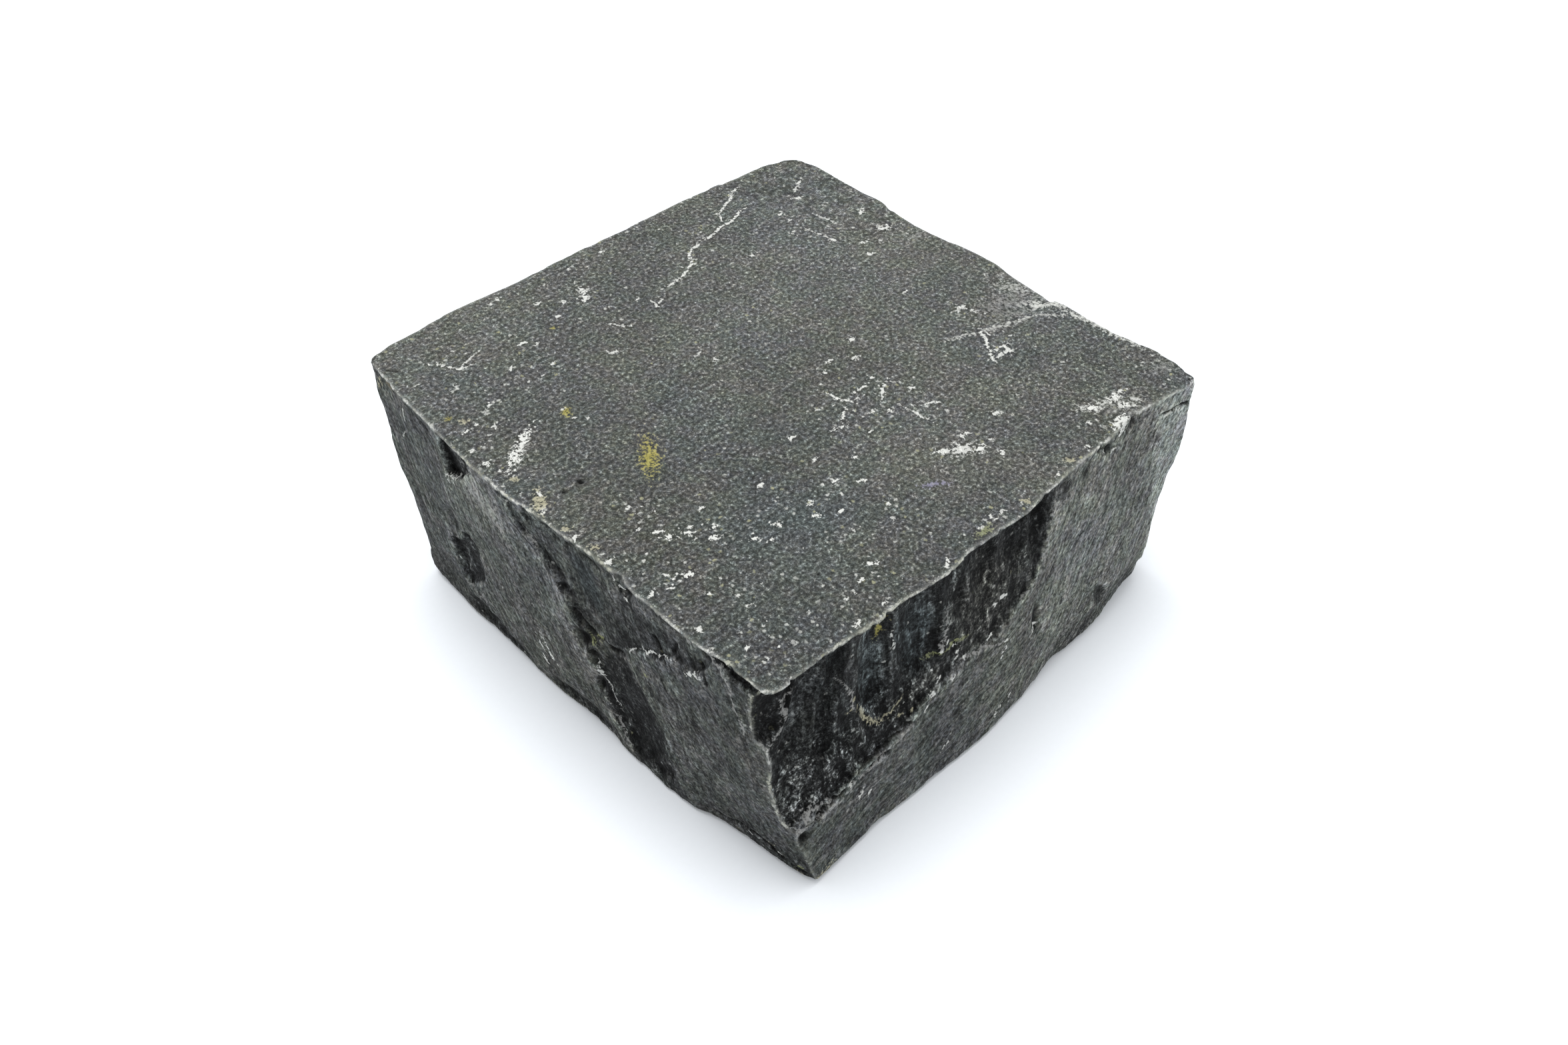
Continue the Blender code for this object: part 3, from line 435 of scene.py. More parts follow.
def east(y, z, looks=False):
    x = 50.0
    low = ease(50.0, 48.0, z)
    wy = y + low * (1.0 * noise(x, y, z, 9.0, 43) + 0.3 * noise(x, y, z, 2.4, 47) + 0.12 * noise(x, y, z, 1.1, 49))
    wz = z + low * (1.0 * noise(x, y, z, 9.0, 44) + 0.3 * noise(x, y, z, 2.4, 48) + 0.12 * noise(x, y, z, 1.1, 50))
    out = ruled(EAST_TOP, EAST_MID, EAST_FOOT, y, z) + GROW
    ry = wy + 3.2 * noise(x, y, z, 11.0, 121) + 1.2 * noise(x, y, z, 4.0, 122)
    rz = wz + 3.2 * noise(x, y, z, 11.0, 123) + 1.2 * noise(x, y, z, 4.0, 124)
    a = bowl(ry, rz, -26.0, 34.0, 15.0, 17.0, 2.0, 12)
    b = bowl(ry, rz, 13.0, 34.0, 13.0, 20.0, 1.8, -14)
    c = bowl(ry, rz, 34.0, 16.0, 15.0, 12.0, 1.5, 20)
    d = bowl(ry, rz, -8.0, 8.0, 18.0, 9.0, 1.6, -8)
    line = wy - (-2.0 + 0.30 * wz + 1.2 * np.sin(wz * 0.21))
    split = np.exp(-(((line - 0.3) / 0.40) ** 2)) * ease(6, 16, wz) * ease(46, 38, wz)
    lift = 0.7 * ease(0.0, 0.35, line) * (1 - ease(6, 22, line)) * ease(50, 40, wz)
    deep = np.maximum.reduce([a, b, c, d, lift, np.zeros_like(y)]) + 0.8 * split
    out = out - deep * ease(51.0, 45.0, z) * low
    hackly = (0.25 + 0.75 * ease(0.1, 0.9, np.maximum(a, d))) * low
    scars, scales = chips(wy, wz, 3.0, 4.4, 51, 20) - 0.55, chips(y, z, 1.3, 2.0, 52, 28) - 0.55
    out = out + hackly * (0.55 * scars + 0.30 * scales)
    out = out + low * 0.24 * (chips(wy, wz, 7.0, 13.0, 53, 22, 0.9) - 0.55)
    out = out + low * 0.12 * (chips(wy, wz, 2.4, 6.5, 54, 26, 0.9) - 0.55)
    out = out + low * (0.22 * noise(x, y, z, 11.0, 45) + 0.10 * noise(x, y, z, 4.2, 46) + 0.05 * noise(x, y, z, 1.7, 56) + 0.07 * noise(x, y - 0.3 * z, z * 0.16, 1.1, 57))
    out = out + 0.03 * noise(x, y, z, 0.9, 58)
    if not looks:
        return out
    cloud = 0.40 * noise(x, y, z, (9.0, 4.0, 9.0), 125) + 0.25 * noise(x, y, z, 2.6, 126)
    fresh_and_shade = np.maximum.reduce([(0.30 + cloud) * ease(0.0, 1.6, a), (0.35 + cloud) * ease(0.0, 1.3, d), (0.15 + cloud) * ease(0.0, 1.3, c)])
    fresh_and_shade = np.clip(fresh_and_shade, 0, 1)
    tone = hackly * np.clip(2.0 * (scars + 0.12) + 1.3 * (scales + 0.12), -0.7, 0.9) - 0.15 * ease(14, 3, wz) + 0.25 * cloud
    # the third value is painted shade along the split, drawn black
    return out, fresh_and_shade, np.clip(1.2 * split, 0, 1), tone, 0.7 * fresh_and_shade, 0.5 * fresh_and_shade


def north(x, z, looks=False):
    y = 50.0
    low = ease(50.0, 48.0, z)
    wx = x + low * (1.0 * noise(x, y, z, 9.0, 63) + 0.3 * noise(x, y, z, 2.4, 67) + 0.12 * noise(x, y, z, 1.1, 69))
    wz = z + low * (1.0 * noise(x, y, z, 9.0, 64) + 0.3 * noise(x, y, z, 2.4, 68) + 0.12 * noise(x, y, z, 1.1, 70))
    out = ruled(NORTH_TOP, NORTH_MID, NORTH_FOOT, x, z) + GROW
    above = wz - (24.0 + 0.16 * wx)
    shelf = 1.6 * ease(0.0, 0.5, above) * (1 - ease(5.0, 20.0, above)) * ease(-44, -30, wx) * (1 - ease(18, 36, wx))
    slot = np.exp(-(((above - 0.1) / 0.30) ** 2)) * ease(-34, -24, wx) * (1 - ease(4, 12, wx))
    rx = wx + 3.2 * noise(x, y, z, 11.0, 141) + 1.2 * noise(x, y, z, 4.0, 142)
    rz = wz + 3.2 * noise(x, y, z, 11.0, 143) + 1.2 * noise(x, y, z, 4.0, 144)
    a = bowl(rx, rz, -30.0, 42.0, 14.0, 15.0, 1.7, -10)
    b = bowl(rx, rz, 4.0, 12.0, 19.0, 11.0, 1.7, 8)
    c = bowl(rx, rz, 34.0, 34.0, 13.0, 20.0, 1.9, 16)
    deep = np.maximum.reduce([shelf, a, b, c, np.zeros_like(x)]) + 0.8 * slot
    out = out - deep * ease(51.0, 45.0, z) * low
    hackly = (0.25 + 0.75 * ease(0.1, 0.9, np.maximum(b, shelf))) * low
    scars, scales = chips(wx, wz, 3.0, 4.4, 71, -20) - 0.55, chips(x, z, 1.3, 2.0, 72, -28) - 0.55
    out = out + hackly * (0.55 * scars + 0.30 * scales)
    out = out + low * 0.24 * (chips(wx, wz, 7.0, 13.0, 73, -22, 0.9) - 0.55)
    out = out + low * 0.12 * (chips(wx, wz, 2.4, 6.5, 74, -26, 0.9) - 0.55)
    out = out + low * (0.22 * noise(x, y, z, 11.0, 65) + 0.10 * noise(x, y, z, 4.2, 66) + 0.05 * noise(x, y, z, 1.7, 76) + 0.07 * noise(x - 0.3 * z, y, z * 0.16, 1.1, 77))
    out = out + 0.03 * noise(x, y, z, 0.9, 78)
    if not looks:
        return out
    cloud = 0.40 * noise(x, y, z, (4.0, 9.0, 9.0), 145) + 0.25 * noise(x, y, z, 2.6, 146)
    fresh_and_shade = np.maximum.reduce([(0.35 + cloud) * ease(0.0, 1.4, b), (0.45 + cloud) * ease(0.3, 1.4, shelf), (0.12 + cloud) * ease(0.0, 1.4, c)])
    fresh_and_shade = np.clip(fresh_and_shade, 0, 1)
    tone = hackly * np.clip(2.0 * (scars + 0.12) + 1.3 * (scales + 0.12), -0.7, 0.9) - 0.15 * ease(14, 3, wz) + 0.25 * cloud
    # the third value is painted shade along the slot, drawn black
    return out, fresh_and_shade, np.clip(1.2 * slot, 0, 1), tone, 0.7 * fresh_and_shade, 0.5 * fresh_and_shade


def top(x, y, looks=False):
    z = 50.0
    wx = x + 0.8 * noise(x, y, z, 6.0, 81) + 0.25 * noise(x, y, z, 1.8, 87)
    wy = y + 0.8 * noise(x, y, z, 6.0, 82) + 0.25 * noise(x, y, z, 1.8, 88)
    worn = 0.75 * ease(38, 52, wx) * ease(-20.0, -18.6, wy) * (1 - ease(-10, -4, wy))
    flake = 0.22 * ease(0.0, 0.5, 4.0 - np.sqrt(oval(wx, wy, 33.0, -24.0, 2.0, 1.4, 20)) * 4)
    dip = 0.30 * np.clip(1 - oval(wx, wy, 46.0, 21.5, 8.0, 5.5, 0), 0, 1) ** 0.7
    back = 0.35 * ease(38, 39.2, wx + 0.25 * (wy - 30)) * ease(24, 30, wy)
    line = from_line([(-49.6, 44.4), (-48.6, 43.2), (-48.0, 41.8)], wx, wy)
    crack = 0.16 * np.exp(-((line / 0.24) ** 2))
    pit = 0.45 * np.exp(-oval(x, y, -43.0, 0.8, 0.6, 0.42)) + 0.3 * np.exp(-oval(x, y, -46.4, 0.8, 0.4, 0.3))
    out = HEIGHT - worn - dip - back - crack - pit - flake
    out = out + 0.07 * noise(x, y, z, 24.0, 83) + 0.035 * noise(x, y, z, 7.0, 84) + 0.02 * noise(x, y, z, 2.6, 85) + 0.016 * noise(x, y, z, 1.2, 86)
    if not looks:
        return out
    cool = 0.45 * np.exp(-oval(x, y, -30, -33, 17, 14)) + 0.3 * np.exp(-oval(x, y, -16, -3, 13, 10)) + 0.2 * np.exp(-oval(x, y, -15, -25, 13, 9))
    cool = cool - 0.4 * np.exp(-oval(x, y, 2, -39, 18, 10)) - 0.15 * np.exp(-oval(x, y, 10, 15, 32, 18)) + 0.30 * noise(x, y, z, 9.0, 90)
    # the terms along x + y make the top paler towards the back corner and darker towards the front: painted sheen of
    # the overhead light
    tone = 0.20 * ease(0.15, 0.6, worn) + 0.16 * noise(x, y, z, 30.0, 89) + 0.10 * ease(-20, 45, 0.5 * x + 0.5 * y) - 0.31 * ease(-5, -45, 0.5 * x + 0.5 * y)
    tone = tone - 0.10 * np.exp(-oval(x, y, -32, 34, 22, 18)) - 0.04 * np.exp(-oval(x, y, 25, 40, 22, 14)) + 0.07 * noise(x, y, z, 5.0, 100)
    # the third value is painted shade in the crack and the pits, drawn black
    return out, np.zeros_like(x), np.clip(crack * 3 + pit * 3, 0, 1), tone, np.zeros_like(x), cool


def bottom(x, y, looks=False):
    z = 0.0
    past = -within(FLAT_SPOT, x, y)
    hidden = ease(-30, 45, 0.5 * x + 0.5 * y)
    rise = (0.035 + 0.060 * hidden) * np.clip(past, 0, 30)
    uneven = 0.25 + 0.30 * noise(x, y, z, 10.0, 91) + 0.14 * noise(x, y, z, 5.0, 92) + 0.6 * (chips(x, y, 5.0, 6.0, 93, 20) - 0.5) + 0.28 * (chips(x, y, 2.0, 2.6, 94, 50) - 0.5)
    fine = 0.10 + 0.08 * noise(x, y, z, 6.0, 95) + 0.05 * noise(x, y, z, 2.2, 96) + 0.14 * (chips(x, y, 3.0, 3.6, 97, 10) - 0.5) + 0.08 * (chips(x, y, 1.4, 1.8, 98, 40) - 0.5)
    out = rise + np.clip(uneven, 0, None) * ease(0, 8, past) + np.clip(fine, 0, None) * (1 - ease(2, 8, past))
    if not looks:
        return out
    return out, 0.35 * ease(0, 10, past) + 0.15 * ease(0.0, 0.5, uneven), np.zeros_like(x), 0.15 * noise(x, y, z, 14.0, 99), 0.3 * ease(0, 10, past), np.zeros_like(x)


# --------------------------------------------------------- where the faces meet
def meet(x, y, z, fixed):
    """Moves points onto the faces that they are given for: 0 or 1 for the low
    or high face across an axis, None for none."""
    for _ in range(30):
        nx = x if fixed[0] is None else (east(y, z) if fixed[0] else -west(y, z))
        ny = y if fixed[1] is None else (north(x, z) if fixed[1] else -south(x, z))
        nz = z if fixed[2] is None else (top(x, y) if fixed[2] else bottom(x, y))
        x, y, z = 0.5 * (x + nx), 0.5 * (y + ny), 0.5 * (z + nz)
    return np.stack([x, y, z], -1)


def spacing(cells, first):
    t = np.linspace(0, 1, cells + 1)
    return t - first * np.sin(2 * math.pi * t) / (2 * math.pi)


def patch(u_low, u_high, v_low, v_high, s, t):
    s, t = s[:, None, None], t[None, :, None]
    return (
        (1 - t) * u_low[:, None] + t * u_high[:, None]
        + (1 - s) * v_low[None] + s * v_high[None]
        - (1 - s) * (1 - t) * u_low[0] - s * (1 - t) * u_low[-1]
        - (1 - s) * t * u_high[0] - s * t * u_high[-1]
    )


FACES = {
    (0, 0): (lambda y, z, looks=False: west(y, z, looks), -1),
    (0, 1): (lambda y, z, looks=False: east(y, z, looks), 1),
    (1, 0): (lambda x, z, looks=False: south(x, z, looks), -1),
    (1, 1): (lambda x, z, looks=False: north(x, z, looks), 1),
    (2, 0): (lambda x, y, looks=False: bottom(x, y, looks), 1),
    (2, 1): (lambda x, y, looks=False: top(x, y, looks), 1),
}


def depth_of(face, p):
    """How far points lie outside one face, and that face's slopes there."""
    (axis, side), (height, sign) = face, FACES[face]
    u, v = [k for k in range(3) if k != axis]
    h = 0.02
    here = height(p[:, u], p[:, v])
    du = (height(p[:, u] + h, p[:, v]) - here) / h
    dv = (height(p[:, u], p[:, v] + h) - here) / h
    n = np.zeros_like(p)
    if axis == 2:
        outward = 1 if side else -1
        d = outward * (p[:, 2] - here)
        n[:, axis], n[:, u], n[:, v] = outward, -outward * du, -outward * dv
    else:
        d = sign * p[:, axis] - here
        n[:, axis], n[:, u], n[:, v] = sign, -du, -dv
    length = np.linalg.norm(n, axis=1)
    return d / length, n / length[:, None]


def blunt(p, near):
    """Rounds the arrises and knocked corners. Only points near one move."""
    q = p[near]
    ds, ns = [], []
    for face in FACES:
        d, n = depth_of(face, q)
        ds.append(d)
        ns.append(n)
    for k, (n, far) in enumerate(CORNER_FLATS):
        length = math.sqrt(sum(c * c for c in n))
        rough = 0.35 * noise(q[:, 0], q[:, 1], q[:, 2], 5.0, 101 + k) + 0.15 * noise(q[:, 0], q[:, 1], q[:, 2], 1.8, 104 + k)
        up = q[:, 2] + 1.5 * rough
        fuller = [1.1 * ease(49, 42, up) * ease(20, 28, up) + 2.2 * ease(8, 2, up) + 0.4, 2.2 * ease(26.5, 31.0, up) - 2.2 * ease(25, 17, up) - 3.2 * ease(47, 49.6, up), 0.3][k]
        reach = far + fuller
        ds.append((q @ np.array(n) - reach) / length + rough)
        ns.append(np.tile(np.array(n) / length, (len(q), 1)))
    d, n = np.stack(ds, -1), np.stack(ns, -2)
    worn = noise(q[:, 0], q[:, 1], q[:, 2], 3.2, 111) + 0.6 * noise(q[:, 0], q[:, 1], q[:, 2], 1.3, 112)
    radius = 0.22 + 0.48 * np.clip(worn, 0, 1.3)
    flat = d[:, len(FACES):].max(-1)
    radius = radius + 1.2 * ease(-4.0, -0.5, flat)
    move = np.zeros_like(q)
    for _ in range(8):
        now = d + np.einsum("ijk,ik->ij", n, move)
        over = np.maximum(now + radius[:, None], 0)
        norm = np.sqrt((over * over).sum(-1))
        f = np.minimum(now.max(-1), -radius) + norm
        g = np.where(norm[:, None] > 1e-9, np.einsum("ij,ijk->ik", over, n) / np.maximum(norm, 1e-9)[:, None], 0)
        hot = norm > 1e-9
        step = np.where(hot, f / np.maximum((g * g).sum(-1), 0.2), 0)
        move -= step[:, None] * g
    p[near] = q + move
    return p


def stone_points():
    size = (CELLS_X, CELLS_Y, CELLS_Z)
    s = [spacing(CELLS_X, 0.5), spacing(CELLS_Y, 0.5), spacing(CELLS_Z, 0.35)]
    ends = [(-53.0, 55.0), (-54.0, 50.0), (0.0, 50.0)]
    corner = {}
    for i in (0, 1):
        for j in (0, 1):
            for k in (0, 1):
                a = [np.array([ends[c][e]]) for c, e in enumerate((i, j, k))]
                corner[i, j, k] = meet(*a, (i, j, k))[0]
    edge = {}
    for axis in range(3):
        for a in (0, 1):
            for b in (0, 1):
                at = [a, b]
                at.insert(axis, 0)
                low = corner[tuple(at)]
                at[axis] = 1
                high = corner[tuple(at)]
                w = s[axis][:, None]
                line = low * (1 - w) + high * w
                fixed = [None if k == axis else at[k] for k in range(3)]
                moved = meet(line[:, 0], line[:, 1], line[:, 2], fixed)
                moved[0], moved[-1] = low, high
                edge[axis, a, b] = moved
    points, keys, quads, near = [], [], [], []
    nx1, ny1, nz1 = (n + 1 for n in size)

    def edge_of(run, places):
        return edge[(run, *[places[k] for k in range(3) if k != run])]

    start = 0
    for (axis, side), (height, sign) in FACES.items():
        u, v = [k for k in range(3) if k != axis]
        grid = patch(
            edge_of(u, {axis: side, v: 0}), edge_of(u, {axis: side, v: 1}),
            edge_of(v, {axis: side, u: 0}), edge_of(v, {axis: side, u: 1}),
            s[u], s[v],
        )
        inner = grid[1:-1, 1:-1]
        h = height(inner[..., u].ravel(), inner[..., v].ravel()).reshape(inner.shape[:2])
        inner[..., axis] = h * (sign if axis != 2 else 1)
        ni, nj = grid.shape[:2]
        ii, jj = np.meshgrid(np.arange(ni), np.arange(nj), indexing="ij")
        index = [None] * 3
        index[axis] = np.full_like(ii, side * size[axis])
        index[u], index[v] = ii, jj
        keys.append(((index[0] * ny1 + index[1]) * nz1 + index[2]).ravel())
        points.append(grid.reshape(-1, 3))
        rim = np.minimum.reduce([ii, jj, ni - 1 - ii, nj - 1 - jj])
        cut = 22
        near.append((rim <= cut).ravel())
        local = np.arange(start, start + ni * nj).reshape(ni, nj)
        ring = np.stack([local[:-1, :-1], local[1:, :-1], local[1:, 1:], local[:-1, 1:]], -1).reshape(-1, 4)
        # counterclockwise seen from outside
        flip = (axis == 1) ^ (side == 0)
        quads.append(ring[:, ::-1] if flip else ring)
        start += ni * nj
    points, keys, near = np.concatenate(points), np.concatenate(keys), np.concatenate(near)
    quads = np.concatenate(quads)
    _, first, inverse = np.unique(keys, return_index=True, return_inverse=True)
    points, near = points[first], near[first]
    quads = inverse.reshape(-1)[quads]
    return blunt(points, near), quads


def to_frame(p):
    q = np.array(p, float)
    q[..., 0] -= BOX_MIDDLE[0]
    q[..., 1] -= BOX_MIDDLE[1]
    return q * MM


def from_frame(p):
    q = np.array(p, float) / MM
    q[..., 0] += BOX_MIDDLE[0]
    q[..., 1] += BOX_MIDDLE[1]
    return q


def triangles_of(points, quads):
    """Cuts each quad along the diagonal that bends less, so ridges stay crisp."""
    a, b, c, d = (points[quads[:, k]] for k in range(4))

    def bend(p, q, r, t):
        n1 = np.cross(q - p, r - p)
        n2 = np.cross(r - p, t - p)
        n1 /= np.maximum(np.linalg.norm(n1, axis=1, keepdims=True), 1e-12)
        n2 /= np.maximum(np.linalg.norm(n2, axis=1, keepdims=True), 1e-12)
        return (n1 * n2).sum(1)

    first = bend(a, b, c, d) >= bend(b, c, d, a)
    q = quads
    one = np.where(first[:, None], q[:, [0, 1, 2]], q[:, [1, 2, 3]])
    two = np.where(first[:, None], q[:, [0, 2, 3]], q[:, [1, 3, 0]])
    return np.concatenate([one, two])


def mesh_from(name, points, faces):
    mesh = bpy.data.meshes.new(name)
    mesh.vertices.add(len(points))
    mesh.vertices.foreach_set("co", np.ascontiguousarray(points, np.float32).ravel())
    n = faces.shape[1]
    mesh.loops.add(faces.size)
    mesh.loops.foreach_set("vertex_index", np.ascontiguousarray(faces, np.int32).ravel())
    mesh.polygons.add(len(faces))
    mesh.polygons.foreach_set("loop_start", np.arange(0, faces.size, n, dtype=np.int32))
    mesh.update(calc_edges=True)
    mesh.validate()
    return mesh


def thinned(mesh, most):
    """The same surface in at most `most` triangles, kept where it bends."""
    if len(mesh.polygons) <= most:
        return mesh
    ob = bpy.data.objects.new("thinning", mesh)
    bpy.context.scene.collection.objects.link(ob)
    cut = ob.modifiers.new("cut", "DECIMATE")
    cut.decimate_type = "COLLAPSE"
    cut.ratio = most / len(mesh.polygons)
    made = bpy.data.meshes.new_from_object(ob.evaluated_get(bpy.context.evaluated_depsgraph_get()))
    bpy.data.objects.remove(ob)
    return made


def hollows(points, faces):
    """How far each point lies below its surroundings, close by and wider."""
    n = len(points)
    start = np.concatenate([faces[:, 0], faces[:, 1], faces[:, 2]])
    end = np.concatenate([faces[:, 1], faces[:, 2], faces[:, 0]])
    count = np.bincount(start, minlength=n)[:, None]

    def eased(q):
        return 0.3 * q + 0.7 * np.stack([np.bincount(start, q[end, k], n) for k in range(3)], -1) / count

    a, b, c = (points[faces[:, k]] for k in range(3))
    flat = np.cross(b - a, c - a)
    normal = np.stack([sum(np.bincount(faces[:, j], flat[:, k], n) for j in range(3)) for k in range(3)], -1)
    normal /= np.maximum(np.linalg.norm(normal, axis=1, keepdims=True), 1e-12)
    close = points
    for _ in range(5):
        close = eased(close)
    wide = close
    for _ in range(40):
        wide = eased(wide)
    return ((close - points) * normal).sum(1), ((wide - points) * normal).sum(1)


def write_values(mesh, name, values, kind="FLOAT", domain="POINT"):
    a = mesh.attributes.new(name, kind, domain)
    key = {"FLOAT": "value", "FLOAT_VECTOR": "vector", "FLOAT_COLOR": "color"}[kind]
    a.data.foreach_set(key, np.ascontiguousarray(values, np.float32).ravel())


def read_values(mesh, name):
    values = np.empty(len(mesh.vertices), np.float32)
    mesh.attributes[name].data.foreach_get("value", values)
    return values


points, quads = stone_points()
triangles = triangles_of(points, quads)
fine = mesh_from("cobble_fine", to_frame(points), triangles)
for name, values in zip(("hollow_close", "hollow_wide"), hollows(points, triangles)):
    write_values(fine, name, values)
fine = thinned(fine, MOST_TRIANGLES)
fine.name = "cobble_fine"
print("stone mesh:", len(fine.vertices), "points,", len(fine.polygons), "faces,", [a.name for a in fine.attributes])

stone = bpy.data.objects.new("cobble_stone", fine)
bpy.context.scene.collection.objects.link(stone)
fine.shade_smooth()
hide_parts("cobble")
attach(stone, "root")


# ------------------------------------------------------------------ attributes
co = np.empty(len(fine.vertices) * 3, np.float32)
fine.vertices.foreach_get("co", co)
P = from_frame(co.reshape(-1, 3))
gaps = []
looks = np.zeros((5, len(P)))
nearest = np.full(len(P), -1e9)
for (axis, side), (height, sign) in FACES.items():
    u, v = [k for k in range(3) if k != axis]
    out, *found = height(P[:, u], P[:, v], looks=True)
    d = (P[:, 2] - out if side else out - P[:, 2]) if axis == 2 else sign * P[:, axis] - out
    gaps.append(d)
    closer = d > nearest
    nearest = np.where(closer, d, nearest)
    looks = np.where(closer, np.stack(found), looks)
gaps = np.stack(gaps, -1)
order = np.argsort(gaps, axis=1)
first, second = order[:, -1], order[:, -2]
to_arris = -np.take_along_axis(gaps, order[:, -2:-1], 1)[:, 0]
# faces in FACES order: 0 west, 1 east, 2 south, 3 north, 4 bottom, 5 top
pair = np.minimum(first, second) * 10 + np.maximum(first, second)
rim = np.select(
    [pair == 5, pair == 25, pair == 2, (pair == 15) | (pair == 35), (first == 4) | (second == 4)],
    [0.90 + 0.10 * ease(26, 10, P[:, 1]), np.full(len(P), 1.0), 0.25 + 0.70 * ease(11, 18, P[:, 2]), np.full(len(P), 0.42), np.full(len(P), 0.14)],
    0.30,
)
side_face = 1.0 * (first != 5)
close, wide = read_values(fine, "hollow_close"), read_values(fine, "hollow_wide")
inland = ease(0.6, 3.5, to_arris)
# painted shade: points lying below their surroundings are darkened, as shade in hollows
hollow_shade = np.clip(5.0 * close, -0.4, 0.9) + np.clip(0.8 * wide, -0.18, 0.6) * inland
print("hollows:", np.percentile(close, [1, 10, 50, 90, 99]).round(4), np.percentile(wide, [1, 10, 50, 90, 99]).round(4))
write_values(fine, "to_arris", to_arris)
write_values(fine, "rim", rim)
# the stone's own darker fresh fracture, together with painted shade in undercuts
write_values(fine, "fresh_and_shade", looks[0])
# painted shade: how black the crevices are drawn
write_values(fine, "crevice_shade", looks[1])
write_values(fine, "tone", looks[2])
write_values(fine, "grit", looks[3])
write_values(fine, "cool", looks[4])

# Where loose pale crumbs lie thick: (x, y, half length, half width, turn).
CRUMBS = [
    (-39, 42, 6, 3, 20), (-44.7, 31.6, 4, 3, 0), (-46.1, 18.2, 4, 3, 60), (-50.0, 3, 3, 6, 0), (-37.4, -20.7, 5, 2.2, -40),
    (-40.9, -11.1, 4, 3, 30), (-45.3, -21.9, 3, 5, 0), (-42.4, -31.6, 6, 3, -50), (-42.6, -40.6, 5, 4, 0), (6, -17.9, 8, 3, 10),
    (-16.4, -36.4, 7, 4, -20), (33.5, -20.6, 6, 3, 40), (38.1, -10.9, 4, 3, 0), (7.7, -34.2, 5, 3, 0), (32, -46.5, 6, 3, 0),
    (-10.8, 38.6, 4, 3, 0), (-3.8, -48, 4, 2, 0), (-27, -46, 6, 3, 0), (36.9, 30.2, 8, 4, 60), (40, -45, 8, 3, 0),
    (1, -12, 4, 3, 40), (9, -15, 4, 3, 0), (10, -24, 4, 3, 60), (-36, -20, 6, 2, -40), (-22, -24, 10, 4, -20), (47, 16, 3, 3, 0), (-46, -44, 5, 4, 0), (-34, 27, 7, 4, 30), (16, 38, 9, 3, 25),
]
dust = np.zeros(len(P))
for x, y, long, width, turn in CRUMBS:
    dust = np.maximum(dust, np.exp(-0.7 * oval(P[:, 0], P[:, 1], x, y, long, width, turn)))
write_values(fine, "dust", dust * (1 - side_face) + 0.5 * np.exp(-((to_arris / 1.5) ** 2)))
# painted shade in hollows, weaker on the top
write_values(fine, "hollow_shade", hollow_shade * (0.25 + 0.75 * side_face))

# --------------------------------------------------------------- pale marks
# Colour, softness of the rim (0 crisp, 1 hazy).
KINDS = {
    "white": ((0.66, 0.67, 0.64), 0.1),
    "powder": ((0.58, 0.59, 0.56), 1.0),
    "chalk": ((0.30, 0.30, 0.29), 1.0),
    "cream": ((0.40, 0.38, 0.27), 0.3),
    "yellow": ((0.37, 0.33, 0.075), 0.6),
    "lime": ((0.27, 0.29, 0.14), 0.4),
    "violet": ((0.26, 0.25, 0.36), 0.4),
    "brown": ((0.13, 0.10, 0.05), 0.9),
    # painted shade: the black kind is shade in cracks, pits, creases and under chips of the arrises
    "shade_black": ((0.004, 0.004, 0.004), 0.0),
}
